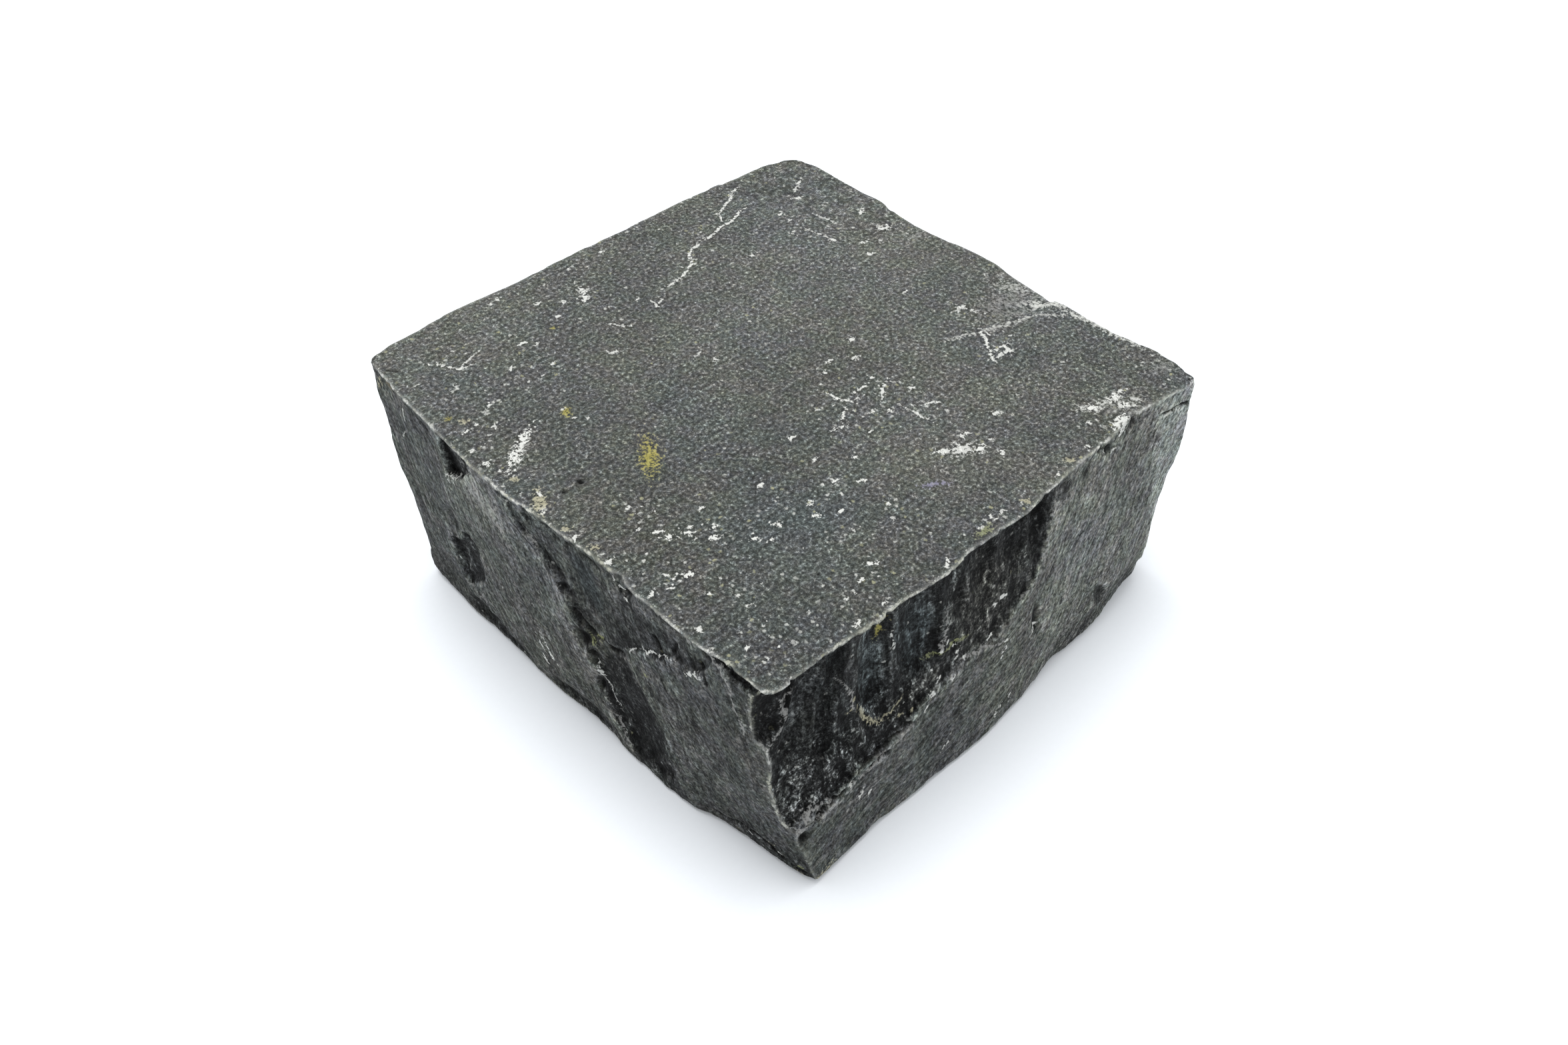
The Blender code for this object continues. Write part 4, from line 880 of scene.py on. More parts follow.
# Thin lines: (kind, half width, strength, points across the face, in mm).
TOP_LINES = [
    ("white", 0.30, 0.80, [(1.9, 31.1), (6.1, 31.3), (9.0, 32.6), (10.8, 33.6), (11.5, 35.3), (13.6, 36.9), (15.8, 37.7)]),
    ("white", 0.32, 0.85, [(18.6, 37.6), (21.0, 38.0), (23.3, 38.9), (26.9, 39.4), (30.8, 40.3)]),
    ("white", 0.30, 0.80, [(24.7, 40.8), (26.0, 42.6), (28.3, 43.6), (30.4, 44.7), (33.3, 46.5), (35.0, 47.4)]),
    ("white", 0.38, 0.75, [(42.6, 38.6), (46.9, 41.1)]),
    ("white", 0.24, 0.50, [(40.4, 29.4), (40.9, 27.0), (40.8, 24.7)]),
    ("white", 0.24, 0.55, [(34.4, 27.6), (35.4, 24.5), (36.0, 21.5)]),
    ("white", 0.32, 0.75, [(-41.7, 39.7), (-40.6, 36.9), (-38.9, 36.0)]),
    ("white", 0.28, 0.70, [(-39.2, 36.9), (-35.6, 37.9)]),
    ("white", 0.90, 0.95, [(-48.3, 11.0), (-45.6, 13.3), (-42.0, 15.4)]),
    ("powder", 0.90, 0.50, [(-46.4, 12.2), (-43.0, 14.4)]),
    ("violet", 0.50, 0.60, [(-4.2, -36.4), (-1.7, -38.1)]),
    ("white", 0.30, 0.75, [(-13.0, 29.0), (-11.4, 27.2)]),
    ("white", 0.26, 0.70, [(-3.1, 29.4), (-3.1, 27.6), (-1.4, 28.6)]),
    ("white", 0.28, 0.65, [(-8.5, 11.9), (-6.7, 12.9)]),
    ("white", 0.32, 0.85, [(1.1, -10.3), (1.5, -12.5), (2.6, -14.6)]),
    ("white", 0.32, 0.85, [(4.7, -13.1), (7.6, -13.1)]),
    ("white", 0.32, 0.85, [(-1.7, -16.7), (0.4, -15.3)]),
    ("white", 0.30, 0.85, [(-4.6, -17.4), (-2.4, -18.1)]),
    ("white", 0.34, 0.85, [(6.9, -17.4), (10.4, -15.3)]),
    ("white", 0.34, 0.85, [(11.0, -23.0), (13.3, -24.6)]),
    ("white", 0.28, 0.85, [(8.3, -22.4), (8.6, -26.0)]),
    ("white", 0.36, 0.80, [(34.0, -16.2), (32.8, -18.5), (31.3, -20.7), (29.7, -23.1), (33.4, -23.9), (34.5, -22.3), (31.4, -22.1)]),
    ("white", 0.30, 0.70, [(37.2, -8.5), (37.9, -11.9)]),
    ("white", 0.26, 0.60, [(35.1, -9.4), (37.4, -10.5)]),
    ("powder", 1.20, 0.90, [(47.9, -17.2), (49.9, -19.2), (52.0, -21.6)]),
    ("powder", 0.80, 0.85, [(50.6, -23.5), (51.6, -27.5), (52.0, -32.0), (52.0, -38.0)]),
    ("powder", 0.45, 0.60, [(28.4, -14.7), (33.0, -16.3), (40.9, -18.7), (45.7, -20.3), (49.3, -23.6)]),
    # painted shade in the crack
    ("shade_black", 0.16, 0.70, [(-49.6, 44.4), (-48.6, 43.2), (-48.0, 41.8)]),
]
# Spots: (kind, half length, half width, turn, strength, places).
TOP_SPOTS = [
    ("white", 2.30, 1.20, -25, 1.00, [(6.9, -34.8)]),
    ("white", 1.70, 0.90, -20, 0.90, [(46.5, 17.6), (36.5, -44.2)]),
    ("white", 1.45, 0.80, -35, 0.95, [(4.4, -33.4), (9.0, -36.6), (36.0, -46.2), (31.5, -43.1)]),
    ("white", 0.95, 0.42, 20, 0.85, [(9.7, -32.8), (47.6, 24.7), (11.5, -39.9), (36.9, -43.4)]),
    ("white", 2.50, 1.15, 0, 0.95, [(32.2, -48.9)]),
    ("white", 1.25, 0.80, 40, 0.90, [(-11.4, 38.3), (-10.3, 40.4)]),
    ("white", 0.85, 0.50, -25, 0.85, [(36.0, 21.4), (40.0, 17.2), (37.4, 13.3), (15.4, -2.4), (18.6, -33.0), (11.9, -6.7), (-18.0, 22.6), (-28.0, 35.0), (37.2, -9.6), (42.0, 37.0)]),
    ("white", 0.60, 0.40, 15, 0.85, [(20.8, 27.6), (31.9, 28.4), (33.3, 0.6), (7.9, -4.2), (5.0, -6.0), (11.0, -33.0), (-14.9, 39.7), (-18.9, 42.9), (-26.0, 33.3), (-33.5, 30.8), (-42.4, 25.4), (-46.7, 22.6), (-48.9, 22.4), (-51.0, 17.7), (-27.4, 26.9), (-6.4, 9.4), (-4.6, 31.5), (34.7, 34.7), (-23.0, 48.6), (-25.0, 48.0), (-7.4, 47.6), (0.4, 47.6)]),
    ("white", 0.92, 0.40, -40, 0.95, [(-41.4, -16.0), (-41.0, -18.0), (-38.5, -19.2), (-36.4, -22.4), (-32.4, -26.7), (-27.4, -26.7), (-10.6, -28.9), (-22.8, -42.4), (-21.7, -29.6), (-44.2, -25.3)]),
    ("white", 0.62, 0.42, 10, 0.92, [(-33.5, -16.4), (-46.4, -24.9), (-14.2, -26.4), (-20.3, -27.0), (-7.0, -24.2), (-23.0, -18.5), (-11.4, -14.2), (-26.7, -43.5), (-37.4, -18.4), (-35.0, -21.0), (-30.2, -28.2), (-18.0, -31.5), (-12.5, -20.4), (3.3, -18.6), (5.8, -20.6), (-0.6, -21.8), (12.8, -19.0)]),
    ("yellow", 4.20, 1.45, 52, 0.75, [(-31.4, -2.1)]),
    ("yellow", 1.10, 0.80, 50, 0.75, [(-33.9, 15.4)]),
    ("yellow", 0.60, 0.40, 0, 0.60, [(-21.0, 35.0), (-49.2, 27.0)]),
    ("white", 0.42, 0.30, 0, 0.85, [(-33.9, 16.2), (-34.0, 13.6), (-32.4, 11.9)]),
    ("cream", 2.60, 1.10, 55, 0.85, [(-50.5, 1.6)]),
    ("white", 0.85, 0.60, 60, 0.85, [(-49.4, 2.9), (-51.4, -0.2)]),
    ("lime", 2.20, 0.70, 0, 0.55, [(-5.0, -49.4)]),
    ("white", 0.60, 0.35, 0, 0.80, [(-27.4, -49.0), (-4.9, -48.6), (-2.0, -47.8)]),
    ("chalk", 7.00, 4.20, 0, 0.42, [(46.0, -14.6)]),
    ("powder", 3.40, 1.70, -70, 0.40, [(50.2, -11.4)]),
    ("powder", 1.30, 0.80, -20, 0.75, [(30.2, -41.8), (32.1, -43.8), (34.4, -43.5), (36.9, -44.4), (38.4, -46.6), (36.4, -46.8)]),
    ("white", 0.75, 0.50, 20, 0.85, [(-51.2, 13.8), (-51.6, -8.4), (-51.2, -15.6), (-50.8, -24.8), (-50.4, -34.6), (-33.4, -49.2), (-14.6, -50.0), (13.4, -49.0), (22.6, -48.6)]),
    ("cream", 0.90, 0.60, -40, 0.70, [(-47.6, 24.8), (-50.2, 8.2), (-51.4, -5.6), (-51.0, -11.8), (4.6, -49.8), (17.8, -48.6)]),
    ("chalk", 3.20, 1.60, -10, 0.40, [(49.7, -45.0), (34.5, -45.5), (49.0, 11.5), (7.0, -34.8)]),
    # painted shade in the pits
    ("shade_black", 0.42, 0.34, 0, 0.90, [(-43.0, 0.8), (-46.4, 0.8), (-30.3, -38.5)]),
]
WEST_LINES = [
    ("white", 0.20, 0.60, [(38.7, 46.6), (38.5, 43.0)]),
    ("white", 0.20, 0.45, [(42.0, 37.0), (41.0, 38.6), (40.0, 40.0)]),
    ("white", 0.26, 0.70, [(26.2, 39.6), (24.4, 40.6), (22.0, 42.0)]),
    ("chalk", 0.45, 0.55, [(30.0, 9.8), (26.0, 8.6), (21.5, 10.0)]),
    ("white", 0.20, 0.70, [(-19.5, 33.4), (-21.3, 35.5)]),
    ("white", 0.26, 0.80, [(-22.5, 36.9), (-24.6, 37.6), (-26.6, 38.8)]),
    ("white", 0.22, 0.70, [(-28.0, 39.6), (-30.0, 41.1)]),
    ("white", 0.36, 0.80, [(-33.9, 41.3), (-34.9, 41.9), (-36.3, 43.0)]),
    ("white", 0.30, 0.80, [(5.0, 15.1), (3.9, 12.0), (2.6, 10.9)]),
    # painted shade: black lines in cracks and under the arris
    ("shade_black", 0.22, 0.85, [(6.0, 45.0), (3.4, 43.2), (1.2, 41.6)]),
    ("shade_black", 0.20, 0.80, [(43.6, 49.0), (41.0, 48.7), (38.4, 48.8)]),
    ("shade_black", 0.24, 0.85, [(36.4, 48.6), (33.6, 48.0), (31.0, 47.6), (28.4, 46.6)]),
    ("shade_black", 0.18, 0.75, [(8.4, 49.0), (5.2, 48.8)]),
    ("shade_black", 0.18, 0.75, [(-14.8, 49.0), (-17.6, 48.6)]),
    ("shade_black", 0.20, 0.80, [(-27.0, 49.2), (-29.0, 48.8), (-31.2, 49.0)]),
    ("shade_black", 0.24, 0.85, [(-0.6, 40.0), (-2.6, 37.4), (-4.2, 34.8)]),
    ("shade_black", 0.30, 0.90, [(-6.4, 29.4), (-8.0, 26.6), (-9.2, 23.4)]),
    ("shade_black", 0.26, 0.85, [(-11.0, 18.0), (-11.6, 14.8), (-12.8, 11.4)]),
    ("shade_black", 0.24, 0.80, [(-15.4, 28.6), (-17.2, 26.4), (-17.8, 23.6)]),
    ("chalk", 0.34, 0.80, [(-34.2, 48.9), (-38.1, 49.5), (-40.7, 48.0), (-42.2, 45.6), (-43.1, 42.5), (-44.0, 40.0), (-44.9, 36.6)]),
    ("white", 0.28, 0.60, [(-10.3, 21.9), (-10.8, 19.0), (-12.4, 16.6), (-13.4, 13.0)]),
    ("chalk", 0.30, 0.60, [(-13.2, 10.0), (-13.9, 7.3), (-15.8, 4.3)]),
    ("chalk", 0.30, 0.60, [(24.0, 11.0), (25.6, 8.6), (26.8, 6.6)]),
    ("chalk", 0.25, 0.60, [(3.2, 45.0), (0.6, 41.5), (-1.4, 36.5), (-4.0, 32.5)]),
]
WEST_SPOTS = [
    ("brown", 1.80, 1.20, 0, 0.70, [(42.4, 48.6)]),
    ("cream", 0.80, 0.50, 70, 0.75, [(46.4, 46.8), (47.4, 45.2)]),
    ("white", 0.50, 0.35, 30, 0.80, [(25.7, 38.8), (23.5, 40.3), (-17.6, 48.6), (-20.2, 46.2), (-18.8, 47.6), (-42.0, 4.0), (-48.3, 4.2)]),
    ("white", 1.30, 0.42, 62, 0.90, [(6.3, 13.2)]),
    ("white", 1.00, 0.42, 80, 0.85, [(6.1, 8.2)]),
    ("lime", 0.85, 0.55, 40, 0.80, [(-11.0, 28.8), (-9.6, 27.0)]),
    ("lime", 0.60, 0.45, 0, 0.60, [(-23.6, 31.0), (-52.0, 3.2)]),
    ("cream", 1.00, 0.50, 0, 0.70, [(-51.5, 1.0), (-46.0, 5.2)]),
    ("chalk", 7.00, 2.80, 38, 0.45, [(14.5, 42.6)]),
]
SOUTH_LINES = [
    ("chalk", 0.30, 0.75, [(-35.7, 38.9), (-34.2, 35.9), (-33.4, 33.0), (-33.0, 31.0)]),
    ("cream", 0.50, 0.62, [(-31.6, 29.4), (-30.6, 27.4), (-29.2, 25.4), (-27.2, 24.4)]),
    ("cream", 0.26, 0.50, [(-27.0, 24.3), (-25.0, 24.4), (-23.0, 25.6)]),
    ("chalk", 0.45, 0.75, [(-45.0, 44.1), (-47.2, 42.5), (-46.8, 39.6), (-48.9, 36.8)]),
    ("chalk", 0.34, 0.70, [(-41.0, 14.6), (-37.0, 14.9), (-33.5, 16.6), (-30.0, 16.6), (-26.0, 17.9), (-22.0, 18.9)]),
    ("chalk", 0.50, 0.75, [(-46.6, 15.0), (-45.0, 15.2), (-43.2, 16.8), (-41.6, 16.6)]),
    ("white", 0.24, 0.70, [(-25.9, 42.2), (-25.1, 40.8), (-24.6, 38.6)]),
    ("chalk", 0.30, 0.85, [(-13.2, 37.9), (-13.4, 35.9), (-13.4, 32.4), (-14.1, 30.8)]),
    ("lime", 0.40, 0.50, [(-8.5, 30.0), (-11.1, 30.7), (-13.2, 30.3), (-16.2, 30.5)]),
    ("chalk", 0.30, 0.60, [(11.4, 39.0), (11.0, 34.0), (8.8, 31.4), (6.1, 29.7)]),
    ("chalk", 0.34, 0.70, [(2.1, 22.4), (0.4, 22.6), (-3.0, 24.4), (-6.1, 24.9), (-8.4, 25.4)]),
    ("white", 0.24, 0.60, [(43.4, 45.3), (47.0, 44.8), (50.7, 43.9)]),
    # painted shade: black lines in the flute creases and cracks
    ("shade_black", 0.30, 0.85, [(-9.2, 46.6), (-9.9, 44.0), (-10.9, 40.9), (-11.4, 38.0)]),
    ("shade_black", 0.26, 0.80, [(-14.4, 43.8), (-14.6, 41.7), (-14.7, 39.6)]),
    ("shade_black", 0.24, 0.85, [(7.6, 30.7), (5.8, 30.2), (4.2, 30.3), (0.9, 30.0)]),
    ("shade_black", 0.26, 0.80, [(-0.7, 29.1), (-2.7, 27.3)]),
    ("shade_black", 0.30, 0.80, [(2.8, 44.4), (2.4, 41.6), (1.2, 38.4)]),
    ("shade_black", 0.30, 0.80, [(5.6, 43.6), (5.2, 40.6)]),
    ("shade_black", 0.34, 0.80, [(-34.9, 46.0), (-35.6, 42.0), (-34.6, 38.4)]),
    ("shade_black", 0.30, 0.80, [(-28.4, 47.0), (-28.8, 43.4)]),
    ("shade_black", 0.26, 0.75, [(-31.4, 27.6), (-32.4, 24.6), (-34.6, 22.0)]),
    ("shade_black", 0.26, 0.75, [(-38.2, 27.0), (-40.4, 23.4), (-42.8, 20.6)]),
]
SOUTH_SPOTS = [
    ("white", 0.42, 0.32, 10, 0.80, [(-14.0, 30.6), (-12.6, 31.6), (-11.0, 29.6), (-16.0, 27.8), (-10.4, 27.0)]),
    ("white", 0.55, 0.40, 20, 0.85, [(-8.2, 25.3), (-10.2, 28.0), (-11.4, 23.2), (-14.5, 24.7), (-16.5, 22.9), (-17.9, 20.7), (-1.3, 32.3), (-2.2, 25.8), (2.1, 21.8), (-34.8, 16.6), (0.6, 33.0), (11.2, 18.5), (3.1, 4.7), (1.7, 3.7), (26.4, 47.6), (28.9, 46.4), (30.4, 48.6)]),
    ("cream", 0.55, 0.40, 0, 0.70, [(-33.0, 33.4), (-31.9, 30.2), (-23.4, 22.4), (-20.8, 22.0), (-33.8, 31.6)]),
    ("white", 0.90, 0.35, 60, 0.75, [(2.0, 19.6), (10.6, 17.6), (-33.0, 12.4), (-30.8, 10.8), (5.7, 5.3), (-12.1, 7.2)]),
    ("yellow", 1.70, 0.60, 80, 0.60, [(-27.7, 44.4)]),
    # painted shade under chips of the arris
    ("shade_black", 1.30, 0.80, 10, 0.90, [(-19.9, 49.0), (-16.8, 48.4), (-8.6, 48.4), (-5.2, 47.4), (3.4, 47.6), (7.0, 46.4), (15.6, 46.8), (21.0, 46.6)]),
    ("white", 1.50, 0.90, 0, 0.90, [(31.4, 49.2)]),
    ("cream", 2.60, 1.20, 20, 0.85, [(-42.6, 0.9)]),
    ("chalk", 3.00, 1.30, 15, 0.35, [(-32.0, 12.0), (24.0, 8.0)]),
]


def scattered(seed, across, up_to, lines, spots):
    """Marks of the same sorts, strewn over a face."""
    rng = np.random.RandomState(seed)
    made_lines, made_spots = [], []
    for _ in range(lines):
        u, v, turn, length = rng.uniform(-across, across), rng.uniform(*up_to), rng.uniform(0, math.pi), rng.uniform(1.5, 7)
        steps = [(u + length * (k / 3 - 0.5) * math.cos(turn) + rng.uniform(-0.5, 0.5), v + length * (k / 3 - 0.5) * math.sin(turn) + rng.uniform(-0.5, 0.5)) for k in range(4)]
        made_lines.append((rng.choice(["white", "chalk", "white"]), rng.uniform(0.2, 0.36), rng.uniform(0.5, 0.85), steps))
    for _ in range(spots):
        long = rng.uniform(0.35, 1.0) * (2.0 if rng.uniform() < 0.12 else 1.0)
        made_spots.append((rng.choice(["white", "white", "white", "lime", "cream"]), long, long * rng.uniform(0.35, 0.8), rng.uniform(0, 180), rng.uniform(0.6, 0.9), [(rng.uniform(-across, across), rng.uniform(*up_to))]))
    return made_lines, made_spots


def strewn(seed, heaps, each):
    """Small crumbs round the places where the dust lies thick."""
    rng = np.random.RandomState(seed)
    made = []
    for x, y, long, width, turn in heaps:
        c, s = math.cos(math.radians(turn)), math.sin(math.radians(turn))
        for _ in range(each):
            a, b = 0.6 * long * rng.normal(), 0.6 * width * rng.normal()
            size = 0.20 + 0.42 * rng.uniform() ** 2
            made.append(("white", size, size * rng.uniform(0.45, 0.95), rng.uniform(0, 180), rng.uniform(0.35, 0.95), [(x + a * c - b * s, y + a * s + b * c)]))
    return made


MARKS = {
    5: (TOP_LINES, TOP_SPOTS + strewn(17, CRUMBS, 6)),
    0: (WEST_LINES, WEST_SPOTS),
    2: (SOUTH_LINES, SOUTH_SPOTS),
    1: scattered(5, 48, (3, 47), 12, 26),
    3: scattered(8, 48, (3, 47), 13, 24),
    4: scattered(11, 44, (-46, 42), 10, 30),
}


def mark_rows(lines, spots):
    rows = []
    for kind, width, strength, path in lines:
        tint, soft = KINDS[kind]
        for (ax, ay), (bx, by) in zip(path, path[1:]):
            length, turn = math.hypot(bx - ax, by - ay), math.atan2(by - ay, bx - ax)
            rows.append([(ax + bx) / 2, (ay + by) / 2, math.cos(turn), math.sin(turn), 0.62 * length + width, width, soft, strength, *tint])
    for kind, long, width, turn, strength, places in spots:
        tint, soft = KINDS[kind]
        for x, y in places:
            rows.append([x, y, math.cos(math.radians(turn)), math.sin(math.radians(turn)), long, width, soft, strength, *tint])
    return np.array(rows)


wander = np.stack([0.50 * noise(*P.T, 2.3, 131 + k) + 0.30 * noise(*P.T, 1.0, 134 + k) for k in range(3)], -1)
loops = np.empty(len(fine.loops), np.int32)
fine.loops.foreach_get("vertex_index", loops)
tris = loops.reshape(-1, 3)
face_of = gaps[tris].sum(1).argmax(1)
corners = P[tris]
axes = [(1, 2), (1, 2), (0, 2), (0, 2), (0, 1), (0, 1)]
place = np.full((2, len(tris), 3, 3), 9.0)
tint = np.zeros((2, len(tris), 3, 4))
along_grain = np.zeros((len(tris), 3, 3))
for face, (lines, spots) in MARKS.items():
    here = np.nonzero(face_of == face)[0]
    uv = (corners[here] + wander[tris[here]])[:, :, axes[face]]
    rows = mark_rows(lines, spots)
    tries = np.concatenate([uv, uv.mean(1, keepdims=True), 0.5 * (uv + uv[:, [1, 2, 0]])], 1)
    best = np.full((len(rows), len(here)), 1e9)
    for k in range(tries.shape[1]):
        a, b = tries[None, :, k, 0] - rows[:, :1], tries[None, :, k, 1] - rows[:, 1:2]
        c, s, long, width = (rows[:, j : j + 1] for j in (2, 3, 4, 5))
        best = np.minimum(best, ((a * c + b * s) / long) ** 2 + ((b * c - a * s) / width) ** 2)
    pick = np.argpartition(best, 1, axis=0)[:2]
    for layer in (0, 1):
        row = rows[pick[layer]][:, None, :]
        a, b = uv[..., 0] - row[..., 0], uv[..., 1] - row[..., 1]
        place[layer, here, :, 0] = (a * row[..., 2] + b * row[..., 3]) / row[..., 4]
        place[layer, here, :, 1] = (b * row[..., 2] - a * row[..., 3]) / row[..., 5]
        place[layer, here, :, 2] = row[..., 6]
        tint[layer, here] = np.concatenate([np.repeat(row[..., 8:11], 3, 1), np.repeat(row[..., 7:8], 3, 1)], -1)
    # the way the stone split: across, outwards, and along it drawn together
    x, y, z = (corners[here][..., k] for k in range(3))
    if face in (4, 5):
        grain = (x, y, z)
    elif face in (0, 1):
        grain = (y - 0.35 * z, x, 0.26 * z + 3.0)
    elif face == 3:
        grain = (x - 0.30 * z, y, 0.26 * z + 9.0)
    else:
        mid = corners[here].mean(1)
        below = mid[:, 2] < along(SCOOP_FOOT, mid[:, 0])
        level = (below & (mid[:, 0] < 8))[:, None]
        scooped = (~below & (mid[:, 0] < 12))[:, None]
        lean = np.where(scooped, -0.18, 0.42)
        grain = (np.where(level, z - 0.30 * x, x - lean * z), y, np.where(level, 0.28 * x + 40.0, 0.26 * z + 6.0))
    along_grain[here] = np.stack(grain, -1)
for layer, letter in enumerate("ab"):
    write_values(fine, f"mark_{letter}_place", place[layer].reshape(-1, 3), "FLOAT_VECTOR", "CORNER")
    write_values(fine, f"mark_{letter}_tint", tint[layer].reshape(-1, 4), "FLOAT_COLOR", "CORNER")
write_values(fine, "grain_place", along_grain.reshape(-1, 3), "FLOAT_VECTOR", "CORNER")
write_values(fine, "side_face", np.repeat(1.0 * (face_of != 5), 3), "FLOAT", "CORNER")
for name in ("hollow_close", "hollow_wide"):
    fine.attributes.remove(fine.attributes[name])


# ------------------------------------------------------------------- materials
class Nodes:
    """Short calls for building a node tree."""

    def __init__(self, tree):
        self.tree = tree

    def add(self, kind, inputs=(), **settings):
        node = self.tree.nodes.new(kind)
        for k, val in settings.items():
            setattr(node, k, val)
        for k, val in (inputs.items() if isinstance(inputs, dict) else enumerate(inputs)):
            if val is None:
                continue
            if isinstance(val, bpy.types.NodeSocket):
                self.tree.links.new(val, node.inputs[k])
            else:
                node.inputs[k].default_value = val
        return node

    def math(self, op, a, b=None, c=None, clamp=False):
        return self.add("ShaderNodeMath", (a, b, c), operation=op, use_clamp=clamp).outputs[0]

    def ramp(self, value, low, high, smooth=True, to=(0.0, 1.0)):
        node = self.add("ShaderNodeMapRange", {"Value": value, "From Min": low, "From Max": high, "To Min": to[0], "To Max": to[1]}, interpolation_type="SMOOTHSTEP" if smooth else "LINEAR", clamp=True)
        return node.outputs["Result"]

    def noise(self, vector, scale, detail=2.0, rough=0.5, distortion=0.0):
        return self.add("ShaderNodeTexNoise", {"Vector": vector, "Scale": scale, "Detail": detail, "Roughness": rough, "Distortion": distortion}).outputs["Fac"]

    def mix(self, fac, a, b, blend="MIX"):
        node = self.add("ShaderNodeMix", {0: fac}, data_type="RGBA", blend_type=blend)
        for k, val in ((6, a), (7, b)):
            if isinstance(val, bpy.types.NodeSocket):
                self.tree.links.new(val, node.inputs[k])
            else:
                node.inputs[k].default_value = val
        return node.outputs[2]

    def attribute(self, name):
        return self.add("ShaderNodeAttribute", attribute_name=name).outputs["Fac"]


